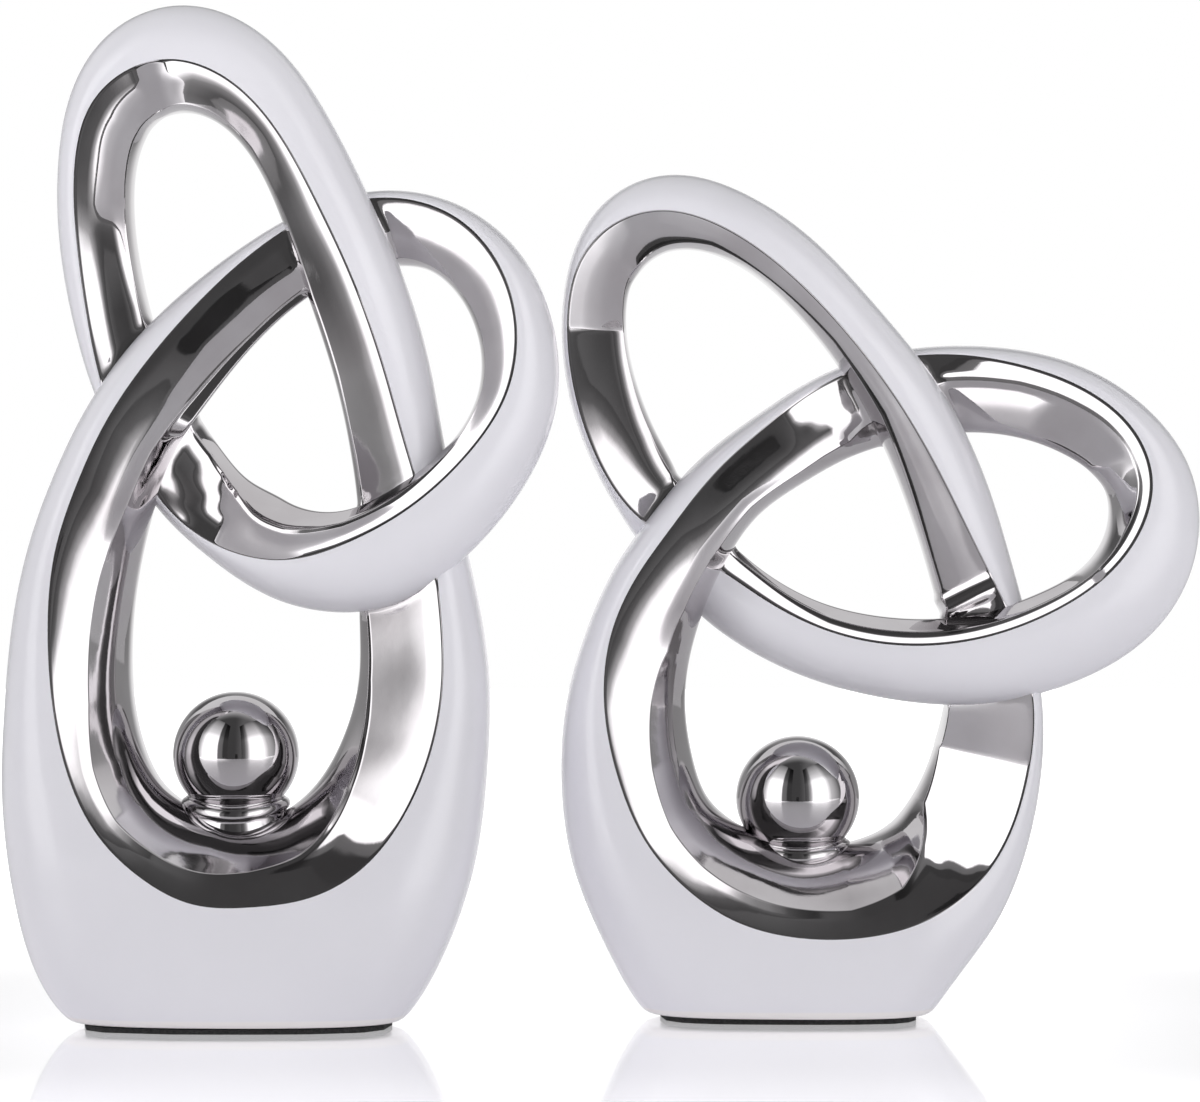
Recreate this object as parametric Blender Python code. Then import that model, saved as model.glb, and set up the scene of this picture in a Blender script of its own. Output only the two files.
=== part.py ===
"""A matched pair of knot sculptures in slip-cast ceramic, one tall and one short.

Each sculpture is one closed strand laid as a three-lobed knot that swells into an egg-shaped base.
It is built as it is made: three castings luted together behind the crossings, a ball on a seat
ring in the base's eye, and a pad under the foot. The outer side of the strand is glazed white and
the inner side is silver plated, and the two meet on a crisp ridge, front and back.

Lengths are in millimetres until a mesh is made. The front looks along -Y.
"""

import math

import bmesh
import bpy
import numpy as np

METRES = 0.001

# Driving dimensions in millimetres. The heights are from the flat of the foot to the top of the loop.
TALL_HEIGHT = 354.0
SHORT_HEIGHT = 297.5
STRAND_DEPTH = 38.0  # front ridge to back ridge where the strand is slim
BASE_DEPTH = 80.0  # front ridge to back ridge at the bottom of the eye
CROSSING_SHIFT = 8.5  # how far the upper strand at a crossing comes forward, and the lower one back
LUTING_GAP = 0.3  # between pieces that are joined by slip, glue or plating on the real thing
FACET_FALL = 0.33  # how much a plated front facet drops back for each millimetre inwards
FACET_BULGE = 0.08  # how far that facet swells, for each millimetre of its width
STRAND_SQUARENESS = 2.2  # exponent of the superellipse of the glazed side
BASE_SQUARENESS = 3.0
INNER_POINTEDNESS = 1.5  # above 1, the plated inner side is nearer to a wedge than to an arc
LEAST_WEDGE = 1.0  # from the edge of the plated facet to the innermost point
PAD_THICKNESS = 1.7
PAD_INSET = 2.5  # from the flat of the foot
FOOT_LEVEL = PAD_THICKNESS + LUTING_GAP
FOOT_ROUNDING = 2.5
VENT_DIAMETER = 8.0  # firing vent through pad and foot
VENT_DEPTH = 14.0  # up into the foot
BALL_DIAMETER = 44.0
SEAT_CONTACT = math.radians(49)  # from straight down to where the ball meets its ring
SEAT_LAND = 2.4  # from there out to the edge of the lip
SEAT_BEAD_RADIUS = 2.4  # of the rounded lip
SEAT_FLARE = 5.0  # from the lip out to the ring's foot
SEAT_SKIRT = 2.0  # height of the upright edge of the ring's foot
SEAT_DEPTH = 5.4  # from the crest of the saddle down to the top of that edge
SEAT_COVER = 2.0  # of the saddle over the same edge, in front and behind
PAIR_CLEARANCE = 0.5  # across, between the two sculptures
PAIR_SETBACK = 34.0  # how much further back the short one stands

# Facet counts.
STEPS_ALONG = 2  # cross-sections for each row of a rail
ARC_STEPS = 10
FACET_STEPS = 2
INNER_STEPS = 6
TURNED_STEPS = 28
BEAD_STEPS = 5
FLARE_STEPS = 3
CUT_STEPS = 2  # rows of the upper strand, each way from its crossing, that trim the lower one
SHORTEST_RIM_EDGE = 0.6  # of the foot, in millimetres
SHARP_ANGLE = math.radians(28)

# One row is one cross-section of the strand, in order clockwise from the bottom of the eye. x is
# from the ball's axis and z from the flat of the foot, both at the front ridge between glaze and
# plating. Shift is the share of CROSSING_SHIFT, forward where it is negative. Outer is from the
# ridge to the outermost point, crease and inner are inwards to the edge of the plated facet and to
# the innermost point, and fullness runs from the strand's depth, 0, to the base's, 1. The lengths
# are those of a sculpture of its full height, and are scaled to the height named above.
TALL_RAIL = (
    (7.5, 42.0, 0.0, 66.0, 9.5, 28.5, 1.0),
    (-11.5, 43.0, -0.05, 62.5, 8.5, 29.5, 1.0),
    (-30.0, 52.5, -0.1, 56.0, 6.5, 27.0, 1.0),
    (-44.5, 67.0, -0.2, 39.5, 5.0, 25.0, 0.95),
    (-54.5, 86.5, -0.25, 27.5, 6.5, 24.5, 0.8),
    (-60.0, 109.5, -0.35, 20.0, 10.0, 25.0, 0.65),
    (-62.0, 137.0, -0.55, 15.0, 13.5, 26.5, 0.5),
    (-59.5, 164.0, -0.8, 11.5, 16.5, 27.5, 0.36),
    (-52.5, 186.0, -0.95, 10.5, 18.0, 26.0, 0.25),
    (-43.0, 207.0, -1.0, 10.0, 19.5, 24.0, 0.18),
    (-28.5, 229.5, -0.6, 9.5, 21.0, 23.5, 0.1),
    (-8.5, 253.0, 0.1, 7.0, 21.0, 22.5, 0.04),
    (11.5, 271.0, 0.75, 4.5, 20.5, 22.5, 0.0),
    (30.5, 282.0, 1.0, 3.5, 19.5, 23.0, 0.0),
    (54.0, 286.5, 0.95, 3.5, 20.0, 23.0, 0.0),
    (76.5, 280.0, 0.7, 5.0, 19.0, 20.5, 0.0),
    (92.0, 263.5, 0.4, 8.5, 16.0, 18.0, 0.0),
    (98.5, 241.0, -0.05, 12.5, 12.0, 14.5, 0.0),
    (95.0, 217.5, -0.45, 17.5, 8.0, 10.5, 0.0),
    (81.5, 196.5, -0.8, 22.0, 5.5, 8.0, 0.0),
    (62.0, 178.5, -1.0, 25.0, 5.0, 9.5, 0.0),
    (40.5, 166.5, -0.8, 25.0, 5.5, 12.0, 0.0),
    (18.5, 160.5, -0.3, 15.5, 9.5, 21.0, 0.0),
    (-6.5, 166.0, 0.3, 5.5, 17.0, 25.0, 0.0),
    (-23.0, 178.5, 0.8, 3.5, 21.5, 26.5, 0.0),
    (-35.0, 196.0, 1.0, 3.5, 22.5, 26.0, 0.0),
    (-45.0, 218.5, 0.95, 4.5, 20.5, 23.5, 0.0),
    (-51.0, 245.5, 0.75, 6.5, 17.5, 20.5, 0.0),
    (-54.5, 273.0, 0.55, 7.5, 16.5, 19.0, 0.0),
    (-54.5, 300.0, 0.3, 7.5, 17.0, 19.5, 0.0),
    (-49.0, 318.0, 0.1, 10.0, 17.5, 20.0, 0.0),
    (-37.0, 329.5, -0.05, 16.0, 17.0, 18.5, 0.0),
    (-20.0, 333.5, -0.25, 20.5, 15.0, 17.0, 0.0),
    (-1.0, 326.5, -0.45, 20.0, 12.0, 14.5, 0.0),
    (15.5, 309.5, -0.65, 17.5, 10.5, 13.0, 0.0),
    (29.5, 285.0, -0.9, 16.5, 12.0, 14.5, 0.0),
    (42.5, 257.0, -1.0, 16.0, 15.0, 17.5, 0.0),
    (52.5, 228.5, -0.5, 15.0, 16.0, 18.5, 0.0),
    (60.0, 201.5, 0.3, 12.5, 18.0, 20.5, 0.02),
    (67.5, 174.0, 1.0, 10.5, 22.5, 25.5, 0.1),
    (72.0, 145.0, 0.95, 12.5, 25.5, 29.5, 0.22),
    (73.0, 117.5, 0.75, 15.5, 25.0, 30.5, 0.38),
    (68.0, 91.0, 0.5, 20.5, 22.5, 31.5, 0.6),
    (59.0, 71.0, 0.3, 29.0, 19.5, 32.0, 0.8),
    (47.0, 56.0, 0.15, 40.5, 16.5, 32.0, 0.95),
    (29.0, 45.5, 0.05, 59.0, 12.5, 30.5, 1.0),
)
SHORT_RAIL = (
    (18.0, 28.5, 0.0, 54.0, 7.0, 31.0, 1.0),
    (-2.5, 29.0, -0.1, 53.0, 7.5, 29.5, 1.0),
    (-23.0, 34.5, -0.15, 49.5, 8.0, 30.0, 1.0),
    (-40.5, 46.0, -0.2, 38.0, 7.5, 28.0, 0.95),
    (-54.5, 62.0, -0.3, 28.5, 8.0, 26.5, 0.8),
    (-64.0, 83.5, -0.4, 21.0, 11.0, 27.5, 0.65),
    (-69.0, 108.0, -0.6, 14.0, 16.5, 29.0, 0.48),
    (-67.0, 133.5, -0.8, 8.5, 20.0, 29.5, 0.32),
    (-58.5, 153.5, -0.95, 8.0, 18.0, 27.5, 0.25),
    (-46.0, 171.5, -1.0, 8.0, 15.5, 23.5, 0.18),
    (-30.5, 191.0, -0.5, 7.0, 15.5, 22.0, 0.1),
    (-12.5, 207.5, 0.1, 5.0, 18.0, 24.5, 0.04),
    (6.5, 221.5, 0.7, 3.5, 19.5, 27.5, 0.0),
    (27.5, 230.5, 1.0, 3.0, 14.5, 29.0, 0.0),
    (52.5, 233.5, 0.9, 3.5, 7.5, 28.0, 0.0),
    (79.5, 229.5, 0.7, 6.0, 5.5, 25.0, 0.0),
    (103.0, 220.0, 0.45, 8.0, 5.0, 23.0, 0.0),
    (118.5, 206.0, 0.2, 10.5, 4.0, 20.5, 0.0),
    (124.5, 188.5, -0.05, 16.5, 3.0, 16.5, 0.0),
    (120.5, 171.5, -0.35, 23.0, 3.0, 11.0, 0.0),
    (108.5, 155.5, -0.7, 27.0, 3.0, 7.0, 0.0),
    (88.5, 142.0, -0.9, 26.5, 3.0, 7.5, 0.0),
    (61.5, 132.5, -1.0, 23.5, 3.0, 8.5, 0.0),
    (34.0, 130.5, -0.65, 19.5, 3.0, 9.5, 0.0),
    (9.5, 135.5, -0.1, 18.0, 3.0, 9.0, 0.0),
    (-11.0, 145.5, 0.45, 18.0, 3.5, 8.5, 0.0),
    (-27.5, 156.5, 0.9, 16.5, 6.0, 10.0, 0.0),
    (-42.5, 165.5, 1.0, 11.0, 11.0, 15.5, 0.0),
    (-59.0, 177.5, 0.95, 4.0, 18.0, 22.0, 0.0),
    (-71.5, 196.0, 0.8, 2.0, 20.0, 23.5, 0.0),
    (-80.0, 221.5, 0.6, 2.0, 20.0, 22.5, 0.0),
    (-82.0, 249.0, 0.4, 2.0, 19.0, 21.0, 0.0),
    (-76.5, 268.5, 0.2, 4.0, 17.5, 20.0, 0.0),
    (-64.5, 280.0, 0.05, 9.0, 16.0, 18.5, 0.0),
    (-48.0, 284.0, -0.1, 13.5, 12.0, 14.5, 0.0),
    (-28.0, 278.5, -0.35, 15.0, 7.0, 9.5, 0.0),
    (-6.0, 263.5, -0.6, 15.5, 4.0, 7.5, 0.0),
    (16.0, 241.0, -0.85, 15.0, 4.5, 8.5, 0.0),
    (35.0, 215.5, -1.0, 16.0, 6.5, 11.0, 0.0),
    (51.0, 188.0, -0.6, 15.0, 10.5, 14.5, 0.0),
    (64.5, 161.5, 0.1, 11.0, 16.5, 19.0, 0.02),
    (78.0, 133.0, 1.0, 5.5, 24.0, 26.0, 0.1),
    (83.0, 107.5, 0.95, 4.5, 28.5, 30.5, 0.22),
    (80.0, 82.5, 0.75, 6.5, 31.0, 33.0, 0.38),
    (71.0, 59.0, 0.5, 10.5, 29.5, 34.5, 0.6),
    (58.0, 43.5, 0.3, 17.5, 21.0, 34.0, 0.82),
    (39.5, 33.0, 0.1, 31.0, 11.0, 32.5, 0.97),
)

# How deep each ball sinks into the saddle under it.
TALL_BALL_SINK = 0.0
SHORT_BALL_SINK = 4.6

# The crossings, in the order in which the strand first comes to them, and the crossings behind
# which each casting starts and ends.
CROSSINGS = ("left_crossing", "upper_crossing", "right_crossing")
CASTINGS = {
    "base": ("right_crossing", "upper_crossing"),
    "side_loop": ("upper_crossing", "left_crossing"),
    "top_loop": ("left_crossing", "right_crossing"),
}


def clear_scene():
    for thing in list(bpy.data.objects):
        bpy.data.objects.remove(thing, do_unlink=True)


def make_material(name, colour, roughness, metallic):
    material = bpy.data.materials.new(name)
    material.use_nodes = True
    shader = material.node_tree.nodes["Principled BSDF"]
    shader.inputs["Base Color"].default_value = (*colour, 1.0)
    shader.inputs["Roughness"].default_value = roughness
    shader.inputs["Metallic"].default_value = metallic
    material.diffuse_color = (*colour, 1.0)
    return material


def closed_curve(knots, length, values):
    """A smooth closed curve through the values at the knots, as a function of the distance along."""
    spans = np.diff(np.append(knots, length))
    count = len(values)
    system = np.zeros((count, count))
    slopes = np.zeros_like(values)
    for i in range(count):
        before, after = spans[i - 1], spans[i]
        system[i, i - 1] = before
        system[i, i] = 2 * (before + after)
        system[i, (i + 1) % count] = after
        rise_after = (values[(i + 1) % count] - values[i]) / after
        rise_before = (values[i] - values[i - 1]) / before
        slopes[i] = 6 * (rise_after - rise_before)
    bends = np.linalg.solve(system, slopes)

    def at(distance):
        distance = distance % length
        i = int(np.searchsorted(knots, distance, side="right")) - 1
        j = (i + 1) % count
        span = spans[i]
        done = (distance - knots[i]) / span
        left = 1 - done
        straight = left * values[i] + done * values[j]
        bend = (left**3 - left) * bends[i] + (done**3 - done) * bends[j]
        return straight + bend * span**2 / 6

    return at


class Strand:
    """The whole strand of one sculpture, read at any distance along its rail."""

    def __init__(self, rail, height):
        values = np.array(rail, float)
        drawn_height = np.max(values[:, 1] + values[:, 3])
        values[:, [0, 1, 3, 4, 5]] *= height / drawn_height
        steps = np.roll(values[:, :2], -1, axis=0) - values[:, :2]
        lengths = np.hypot(steps[:, 0], steps[:, 1])
        self.knots = np.concatenate([[0.0], np.cumsum(lengths)[:-1]])
        self.length = lengths.sum()
        self.curve = closed_curve(self.knots, self.length, values)

    def frame(self, distance):
        """The ridge point and the outward and forward-travel directions, in the X-Z plane."""
        row = self.curve(distance)
        ahead = self.curve(distance + 0.01)[:2] - self.curve(distance - 0.01)[:2]
        travel = ahead / np.hypot(*ahead)
        outward = np.array([-travel[1], travel[0]])
        return row, outward, travel

    def section(self, distance, swell=0.0, ahead=0.0):
        """Points of the cross-section, from the front ridge round the glazed side and back."""
        row, outward, travel = self.frame(distance)
        x, z, shift, outer, crease, inner, fullness = row
        half_depth = (STRAND_DEPTH + (BASE_DEPTH - STRAND_DEPTH) * max(fullness, 0.0)) / 2
        flat = outline(max(outer, 1.0), max(crease, 1.0), inner, half_depth, fullness)
        if swell:
            flat = swollen(flat, swell)
        x += travel[0] * ahead
        z += travel[1] * ahead + FOOT_LEVEL
        y = shift * CROSSING_SHIFT
        return [(x + n * outward[0], y - depth, z + n * outward[1]) for n, depth in flat]


def outline(outer, crease, inner, half_depth, fullness):
    """The strand's cross-section as (outwards, forwards) points, the same front and back."""
    squareness = STRAND_SQUARENESS + (BASE_SQUARENESS - STRAND_SQUARENESS) * max(fullness, 0.0)
    arc = [
        (outer * n, half_depth * depth) for n, depth in half_superellipse(squareness, ARC_STEPS)
    ]
    inner = max(inner, crease + LEAST_WEDGE)
    crease_depth = max(half_depth - FACET_FALL * crease, 0.4 * half_depth)
    facet = []
    for step in range(1, FACET_STEPS + 1):
        share = step / FACET_STEPS
        bulge = FACET_BULGE * crease * 4 * share * (1 - share)
        facet.append((-crease * share, half_depth + (crease_depth - half_depth) * share + bulge))
    wedge = [
        (-crease - (inner - crease) * n, -crease_depth * depth)
        for n, depth in half_superellipse(2 / INNER_POINTEDNESS, INNER_STEPS)[1:-1]
    ]
    back_facet = [(n, -depth) for n, depth in facet]
    return arc + back_facet + wedge + facet[::-1]


def half_superellipse(exponent, steps):
    """(outwards, forwards) points of the outer half of a superellipse of radius 1, front first."""
    points = []
    for step in range(steps + 1):
        angle = math.pi * step / steps
        depth = math.copysign(abs(math.cos(angle)) ** (2 / exponent), math.cos(angle))
        points.append((math.sin(angle) ** (2 / exponent), depth))
    return points


def swollen(points, distance):
    """The closed outline moved outwards by a distance, or inwards if it is negative."""
    around = np.array(points)
    following = np.roll(around, -1, axis=0)
    edges = following - around
    edges /= np.hypot(edges[:, 0], edges[:, 1])[:, None]
    area = np.sum(around[:, 0] * following[:, 1] - following[:, 0] * around[:, 1])
    normals = np.stack([edges[:, 1], -edges[:, 0]], axis=1) * math.copysign(1.0, area)
    corners = np.roll(normals, 1, axis=0) + normals
    corners /= np.hypot(corners[:, 0], corners[:, 1])[:, None]
    stretch = np.maximum(np.sum(corners * normals, axis=1), 0.5)
    return [tuple(point) for point in around + corners * (distance / stretch)[:, None]]


def meeting(start, end, other_start, other_end):
    """How far along each of two segments they cross, as shares of their lengths, or None."""
    along = end - start
    other_along = other_end - other_start
    offset = other_start - start
    spread = along[0] * other_along[1] - along[1] * other_along[0]
    if spread == 0:
        return None
    share = (offset[0] * other_along[1] - offset[1] * other_along[0]) / spread
    other_share = (offset[0] * along[1] - offset[1] * along[0]) / spread
    if 0 <= share < 1 and 0 <= other_share < 1:
        return share, other_share
    return None


def find_crossings(strand):
    """The row that passes in front and the row that passes behind, at each crossing."""
    middle = []
    for distance in strand.knots:
        row, outward, _ = strand.frame(distance)
        middle.append(row[:2] + outward * (row[3] - row[5]) / 2)
    rows = len(middle)
    found = []
    for i in range(rows):
        for j in range(i + 2, rows):
            following = (j + 1) % rows
            shares = meeting(middle[i], middle[i + 1], middle[j], middle[following])
            if shares and following != i:
                passes = [(i + round(shares[0])) % rows, (j + round(shares[1])) % rows]
                found.append(sorted(passes, key=lambda row: strand.curve(strand.knots[row])[2]))
    return dict(zip(CROSSINGS, found))


def loft(sections):
    """A closed tube through the sections. The arc of each is glazed and the rest is plated."""
    mesh = bmesh.new()
    rings = [[mesh.verts.new([c * METRES for c in point]) for point in section] for section in sections]
    count = len(rings[0])
    for ring, following in zip(rings, rings[1:]):
        for i in range(count):
            j = (i + 1) % count
            face = mesh.faces.new((ring[i], ring[j], following[j], following[i]))
            face.material_index = 0 if i < ARC_STEPS else 1
    for end in (rings[0], rings[-1]):
        mesh.faces.new(end).material_index = 1
    bmesh.ops.recalc_face_normals(mesh, faces=mesh.faces)
    return mesh


def stations(strand, start_row, end_row):
    """Distances for the cross-sections from one row to another, evenly placed between rows."""
    rows = len(strand.knots)
    if end_row < start_row:
        end_row += rows
    found = []
    for row in range(start_row, end_row):
        here = strand.knots[row % rows]
        there = strand.knots[(row + 1) % rows]
        if there <= here:
            there += strand.length
        found += [here + (there - here) * step / STEPS_ALONG for step in range(STEPS_ALONG)]
    found.append(strand.knots[end_row % rows])
    return found


def casting_mesh(strand, start_row, end_row):
    places = stations(strand, start_row, end_row)
    sections = [strand.section(place) for place in places[1:-1]]
    first = strand.section(places[0], ahead=LUTING_GAP / 2)
    last = strand.section(places[-1], ahead=-LUTING_GAP / 2)
    return loft([first, *sections, last])


def upper_strand_cutter(name, strand, row):
    """The stretch of strand in front of a crossing, larger all round by the luting gap."""
    places = stations(strand, row - CUT_STEPS, row + CUT_STEPS)
    return add_cutter(name, loft([strand.section(place, swell=LUTING_GAP) for place in places]))


def flatten_foot(mesh):
    """Cuts the casting level at the foot, rounds the edge and returns the flat's outline."""
    plane = (0.0, 0.0, FOOT_LEVEL * METRES)
    everything = mesh.verts[:] + mesh.edges[:] + mesh.faces[:]
    sliced = bmesh.ops.bisect_plane(
        mesh, geom=everything, plane_co=plane, plane_no=(0.0, 0.0, -1.0), clear_outer=True
    )
    rim = [item for item in sliced["geom_cut"] if isinstance(item, bmesh.types.BMVert)]
    bmesh.ops.remove_doubles(mesh, verts=rim, dist=SHORTEST_RIM_EDGE * METRES)
    edges = [edge for edge in mesh.edges if edge.is_boundary]
    for face in bmesh.ops.contextual_create(mesh, geom=edges)["faces"]:
        face.material_index = 0
    bmesh.ops.bevel(
        mesh,
        geom=edges,
        offset=FOOT_ROUNDING * METRES,
        segments=3,
        profile=0.5,
        affect="EDGES",
        clamp_overlap=True,
    )
    bmesh.ops.recalc_face_normals(mesh, faces=mesh.faces)
    lowest = max(mesh.faces, key=lambda face: -face.normal.z * face.calc_area())
    return [(vert.co.x / METRES, vert.co.y / METRES) for vert in lowest.verts]


def add_object(name, mesh, materials):
    bmesh.ops.triangulate(mesh, faces=mesh.faces[:], quad_method="FIXED")
    data = bpy.data.meshes.new(name)
    mesh.to_mesh(data)
    mesh.free()
    for material in materials:
        data.materials.append(material)
    data.shade_smooth()
    data.set_sharp_from_angle(angle=SHARP_ANGLE)
    made = bpy.data.objects.new(name, data)
    bpy.context.scene.collection.objects.link(made)
    return made


def add_cutter(name, mesh):
    made = add_object(name, mesh, [])
    made.hide_render = True
    made.display_type = "WIRE"
    return made


def cut(made, cutter):
    modifier = made.modifiers.new("cut by " + cutter.name, "BOOLEAN")
    modifier.operation = "DIFFERENCE"
    modifier.solver = "EXACT"
    modifier.object = cutter


def turned(profile, sag=0.0):
    """A solid of revolution about Z from (radius, height) points, both ends on the axis.

    The sag bends it down in front and behind, as the square of the depth, like a saddle.
    """
    mesh = bmesh.new()
    rings = []
    for radius, height in profile:
        if radius == 0:
            rings.append([mesh.verts.new((0.0, 0.0, height * METRES))])
            continue
        ring = []
        for step in range(TURNED_STEPS):
            angle = 2 * math.pi * step / TURNED_STEPS
            x = radius * math.cos(angle)
            y = radius * math.sin(angle)
            z = height - sag * y**2
            ring.append(mesh.verts.new((x * METRES, y * METRES, z * METRES)))
        rings.append(ring)
    for ring, following in zip(rings, rings[1:]):
        for step in range(TURNED_STEPS):
            after = (step + 1) % TURNED_STEPS
            corners = [ring[step % len(ring)], ring[after % len(ring)]]
            corners += [following[after % len(following)], following[step % len(following)]]
            mesh.faces.new(list(dict.fromkeys(corners)))
    bmesh.ops.recalc_face_normals(mesh, faces=mesh.faces)
    return mesh


def ball_profile(radius):
    rows = TURNED_STEPS // 2
    angles = [math.pi * step / rows for step in range(1, rows)]
    middle = [(radius * math.sin(angle), radius * math.cos(angle)) for angle in angles]
    return [(0, radius), *middle, (0, -radius)]


def lip_radius():
    return BALL_DIAMETER / 2 * math.sin(SEAT_CONTACT) + SEAT_LAND


def seat_profile(ball_sink):
    """Outer side of the ring under the ball, from the ball's centre: a bead and a flared foot."""
    lip = lip_radius()
    top = -BALL_DIAMETER / 2 * math.cos(SEAT_CONTACT)
    skirt_top = ball_sink - BALL_DIAMETER / 2 - SEAT_DEPTH
    bottom = skirt_top - SEAT_SKIRT
    profile = [(0, top)]
    for step in range(BEAD_STEPS + 1):
        angle = math.radians(90 - 150 * step / BEAD_STEPS)
        out = SEAT_BEAD_RADIUS * (math.cos(angle) - 1)
        up = SEAT_BEAD_RADIUS * (math.sin(angle) - 1)
        profile.append((lip + out, top + up))
    waist, flare_top = profile[-1]
    flare_width = lip + SEAT_FLARE - waist
    flare_height = flare_top - skirt_top
    for step in range(1, FLARE_STEPS + 1):
        angle = math.radians(90 * step / FLARE_STEPS)
        out = flare_width * (1 - math.cos(angle))
        profile.append((waist + out, flare_top - flare_height * math.sin(angle)))
    return [*profile, (lip + SEAT_FLARE, bottom), (0, bottom)]


def make_pad(name, foot, vent, material):
    """The foot's outline, drawn in and extruded down to the floor, with the vent through it."""
    mesh = bmesh.new()
    ring = swollen(foot, -PAD_INSET)
    face = mesh.faces.new([mesh.verts.new((x * METRES, y * METRES, 0.0)) for x, y in ring])
    grown = bmesh.ops.extrude_face_region(mesh, geom=[face])["geom"]
    raised = [item for item in grown if isinstance(item, bmesh.types.BMVert)]
    bmesh.ops.translate(mesh, verts=raised, vec=(0.0, 0.0, PAD_THICKNESS * METRES))
    bmesh.ops.recalc_face_normals(mesh, faces=mesh.faces)
    pad = add_object(name, mesh, [material])
    cut(pad, vent)
    return pad


def saddle(strand):
    """Depths and heights of the plated surface under the ball, from its crest to the front ridge."""
    places = np.linspace(-BALL_DIAMETER, BALL_DIAMETER, 89)
    across = []
    for place in places:
        row, outward, _ = strand.frame(place)
        across.append(row[5] * outward[0] - row[0])
    section = strand.section(np.interp(0.0, across, places))
    inner = section[ARC_STEPS + FACET_STEPS + INNER_STEPS // 2 :]
    crest = inner[0]
    return [crest[1] - y for _, y, _ in inner], [z for _, _, z in inner]


def seat_sag(depths, heights):
    """How the ring under the ball bends, so that the saddle covers its foot in front and behind."""
    foot = lip_radius() + SEAT_FLARE
    fall = heights[0] - np.interp(foot, depths, heights)
    return max(fall + SEAT_COVER - SEAT_DEPTH, 0.0) / foot**2


def extent(strand):
    """Leftmost and rightmost X of the strand above the foot."""
    across = []
    for distance in np.linspace(0.0, strand.length, 720):
        across += [x for x, _, z in strand.section(distance) if z >= FOOT_LEVEL]
    return min(across), max(across)


def build_castings(prefix, strand, finishes):
    """The three castings, each cut back where it runs behind another, and the foot's outline."""
    crossings = find_crossings(strand)
    cutters = {
        crossing: upper_strand_cutter(f"{prefix}_{crossing}_cutter", strand, front)
        for crossing, (front, _) in crossings.items()
    }
    castings = {}
    for name, (start, end) in CASTINGS.items():
        mesh = casting_mesh(strand, crossings[start][1], crossings[end][1])
        if name == "base":
            foot = flatten_foot(mesh)
        made = add_object(f"{prefix}_{name}", mesh, [finishes["glaze"], finishes["plating"]])
        cut(made, cutters[start])
        cut(made, cutters[end])
        castings[name] = made
    return castings, foot, list(cutters.values())


def build_foot(prefix, base, foot, finishes):
    """The pad under the foot, and the vent through both."""
    top = FOOT_LEVEL + VENT_DEPTH
    bottom = -VENT_DEPTH
    radius = VENT_DIAMETER / 2
    bore = [(0, top), (radius, top), (radius, bottom), (0, bottom)]
    vent = add_cutter(prefix + "_vent_cutter", turned(bore))
    foot_x = [x for x, _ in foot]
    vent.location.x = (min(foot_x) + max(foot_x)) / 2 * METRES
    cut(base, vent)
    pad = make_pad(prefix + "_foot_pad", foot, vent, finishes["pad"])
    return [pad, vent]


def build_ball(prefix, strand, ball_sink, base, finishes):
    """The ball and the ring that it sits on, both let into the saddle of the base."""
    radius = BALL_DIAMETER / 2
    ball = add_object(prefix + "_ball", turned(ball_profile(radius)), [finishes["plating"]])
    depths, heights = saddle(strand)
    sag = seat_sag(depths, heights)
    profile = seat_profile(ball_sink)
    seat = add_object(prefix + "_ball_seat", turned(profile, sag), [finishes["plating"]])
    socket = add_cutter(prefix + "_socket_cutter", turned(ball_profile(radius + LUTING_GAP)))
    around = [(max(out, 0.0), up) for out, up in swollen(profile, LUTING_GAP)]
    pocket = add_cutter(prefix + "_pocket_cutter", turned(around, sag))
    made = [ball, seat, socket, pocket]
    for thing in made:
        thing.location.z = (heights[0] - ball_sink + radius) * METRES
    cut(seat, socket)
    cut(base, pocket)
    cut(base, socket)
    return made


def build_sculpture(prefix, strand, ball_sink, finishes, left_edge, back):
    """One sculpture with its leftmost point at left_edge, and its middle depth at back."""
    anchor = bpy.data.objects.new(prefix + "_axis", None)
    bpy.context.scene.collection.objects.link(anchor)
    anchor.location.x = (left_edge - extent(strand)[0]) * METRES
    anchor.location.y = back * METRES

    castings, foot, cutters = build_castings(prefix, strand, finishes)
    made = [*castings.values(), *cutters]
    made += build_foot(prefix, castings["base"], foot, finishes)
    made += build_ball(prefix, strand, ball_sink, castings["base"], finishes)
    for thing in made:
        thing.parent = anchor


def main():
    clear_scene()
    finishes = {
        "glaze": make_material("white_glaze", (0.72, 0.71, 0.77), 0.16, 0.0),
        "plating": make_material("silver_plating", (0.55, 0.53, 0.55), 0.07, 1.0),
        "pad": make_material("black_pad", (0.02, 0.02, 0.022), 0.9, 0.0),
    }
    tall = Strand(TALL_RAIL, TALL_HEIGHT)
    short = Strand(SHORT_RAIL, SHORT_HEIGHT)
    tall_left, tall_right = extent(tall)
    short_left, short_right = extent(short)
    total = tall_right - tall_left + PAIR_CLEARANCE + short_right - short_left
    left_edge = -total / 2
    build_sculpture("tall", tall, TALL_BALL_SINK, finishes, left_edge, -PAIR_SETBACK / 2)
    left_edge += tall_right - tall_left + PAIR_CLEARANCE
    build_sculpture("short", short, SHORT_BALL_SINK, finishes, left_edge, PAIR_SETBACK / 2)


main()
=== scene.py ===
"""The looks of a pair of knot sculptures in white glaze and silver plating.

Each strand is lofted again along its guide rail, with far finer sections than the CAD model has:
a rounded ridge between the two finishes, a crease with a raised lip in the plating, the slow waves
of a cast and plated surface, and a fillet of slip wherever one loop meets another. Sizes are in
millimetres until a mesh is made, and places come from the frame.
"""

import math

import bpy
import numpy as np
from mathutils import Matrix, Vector, noise
from mathutils.bvhtree import BVHTree

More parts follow.
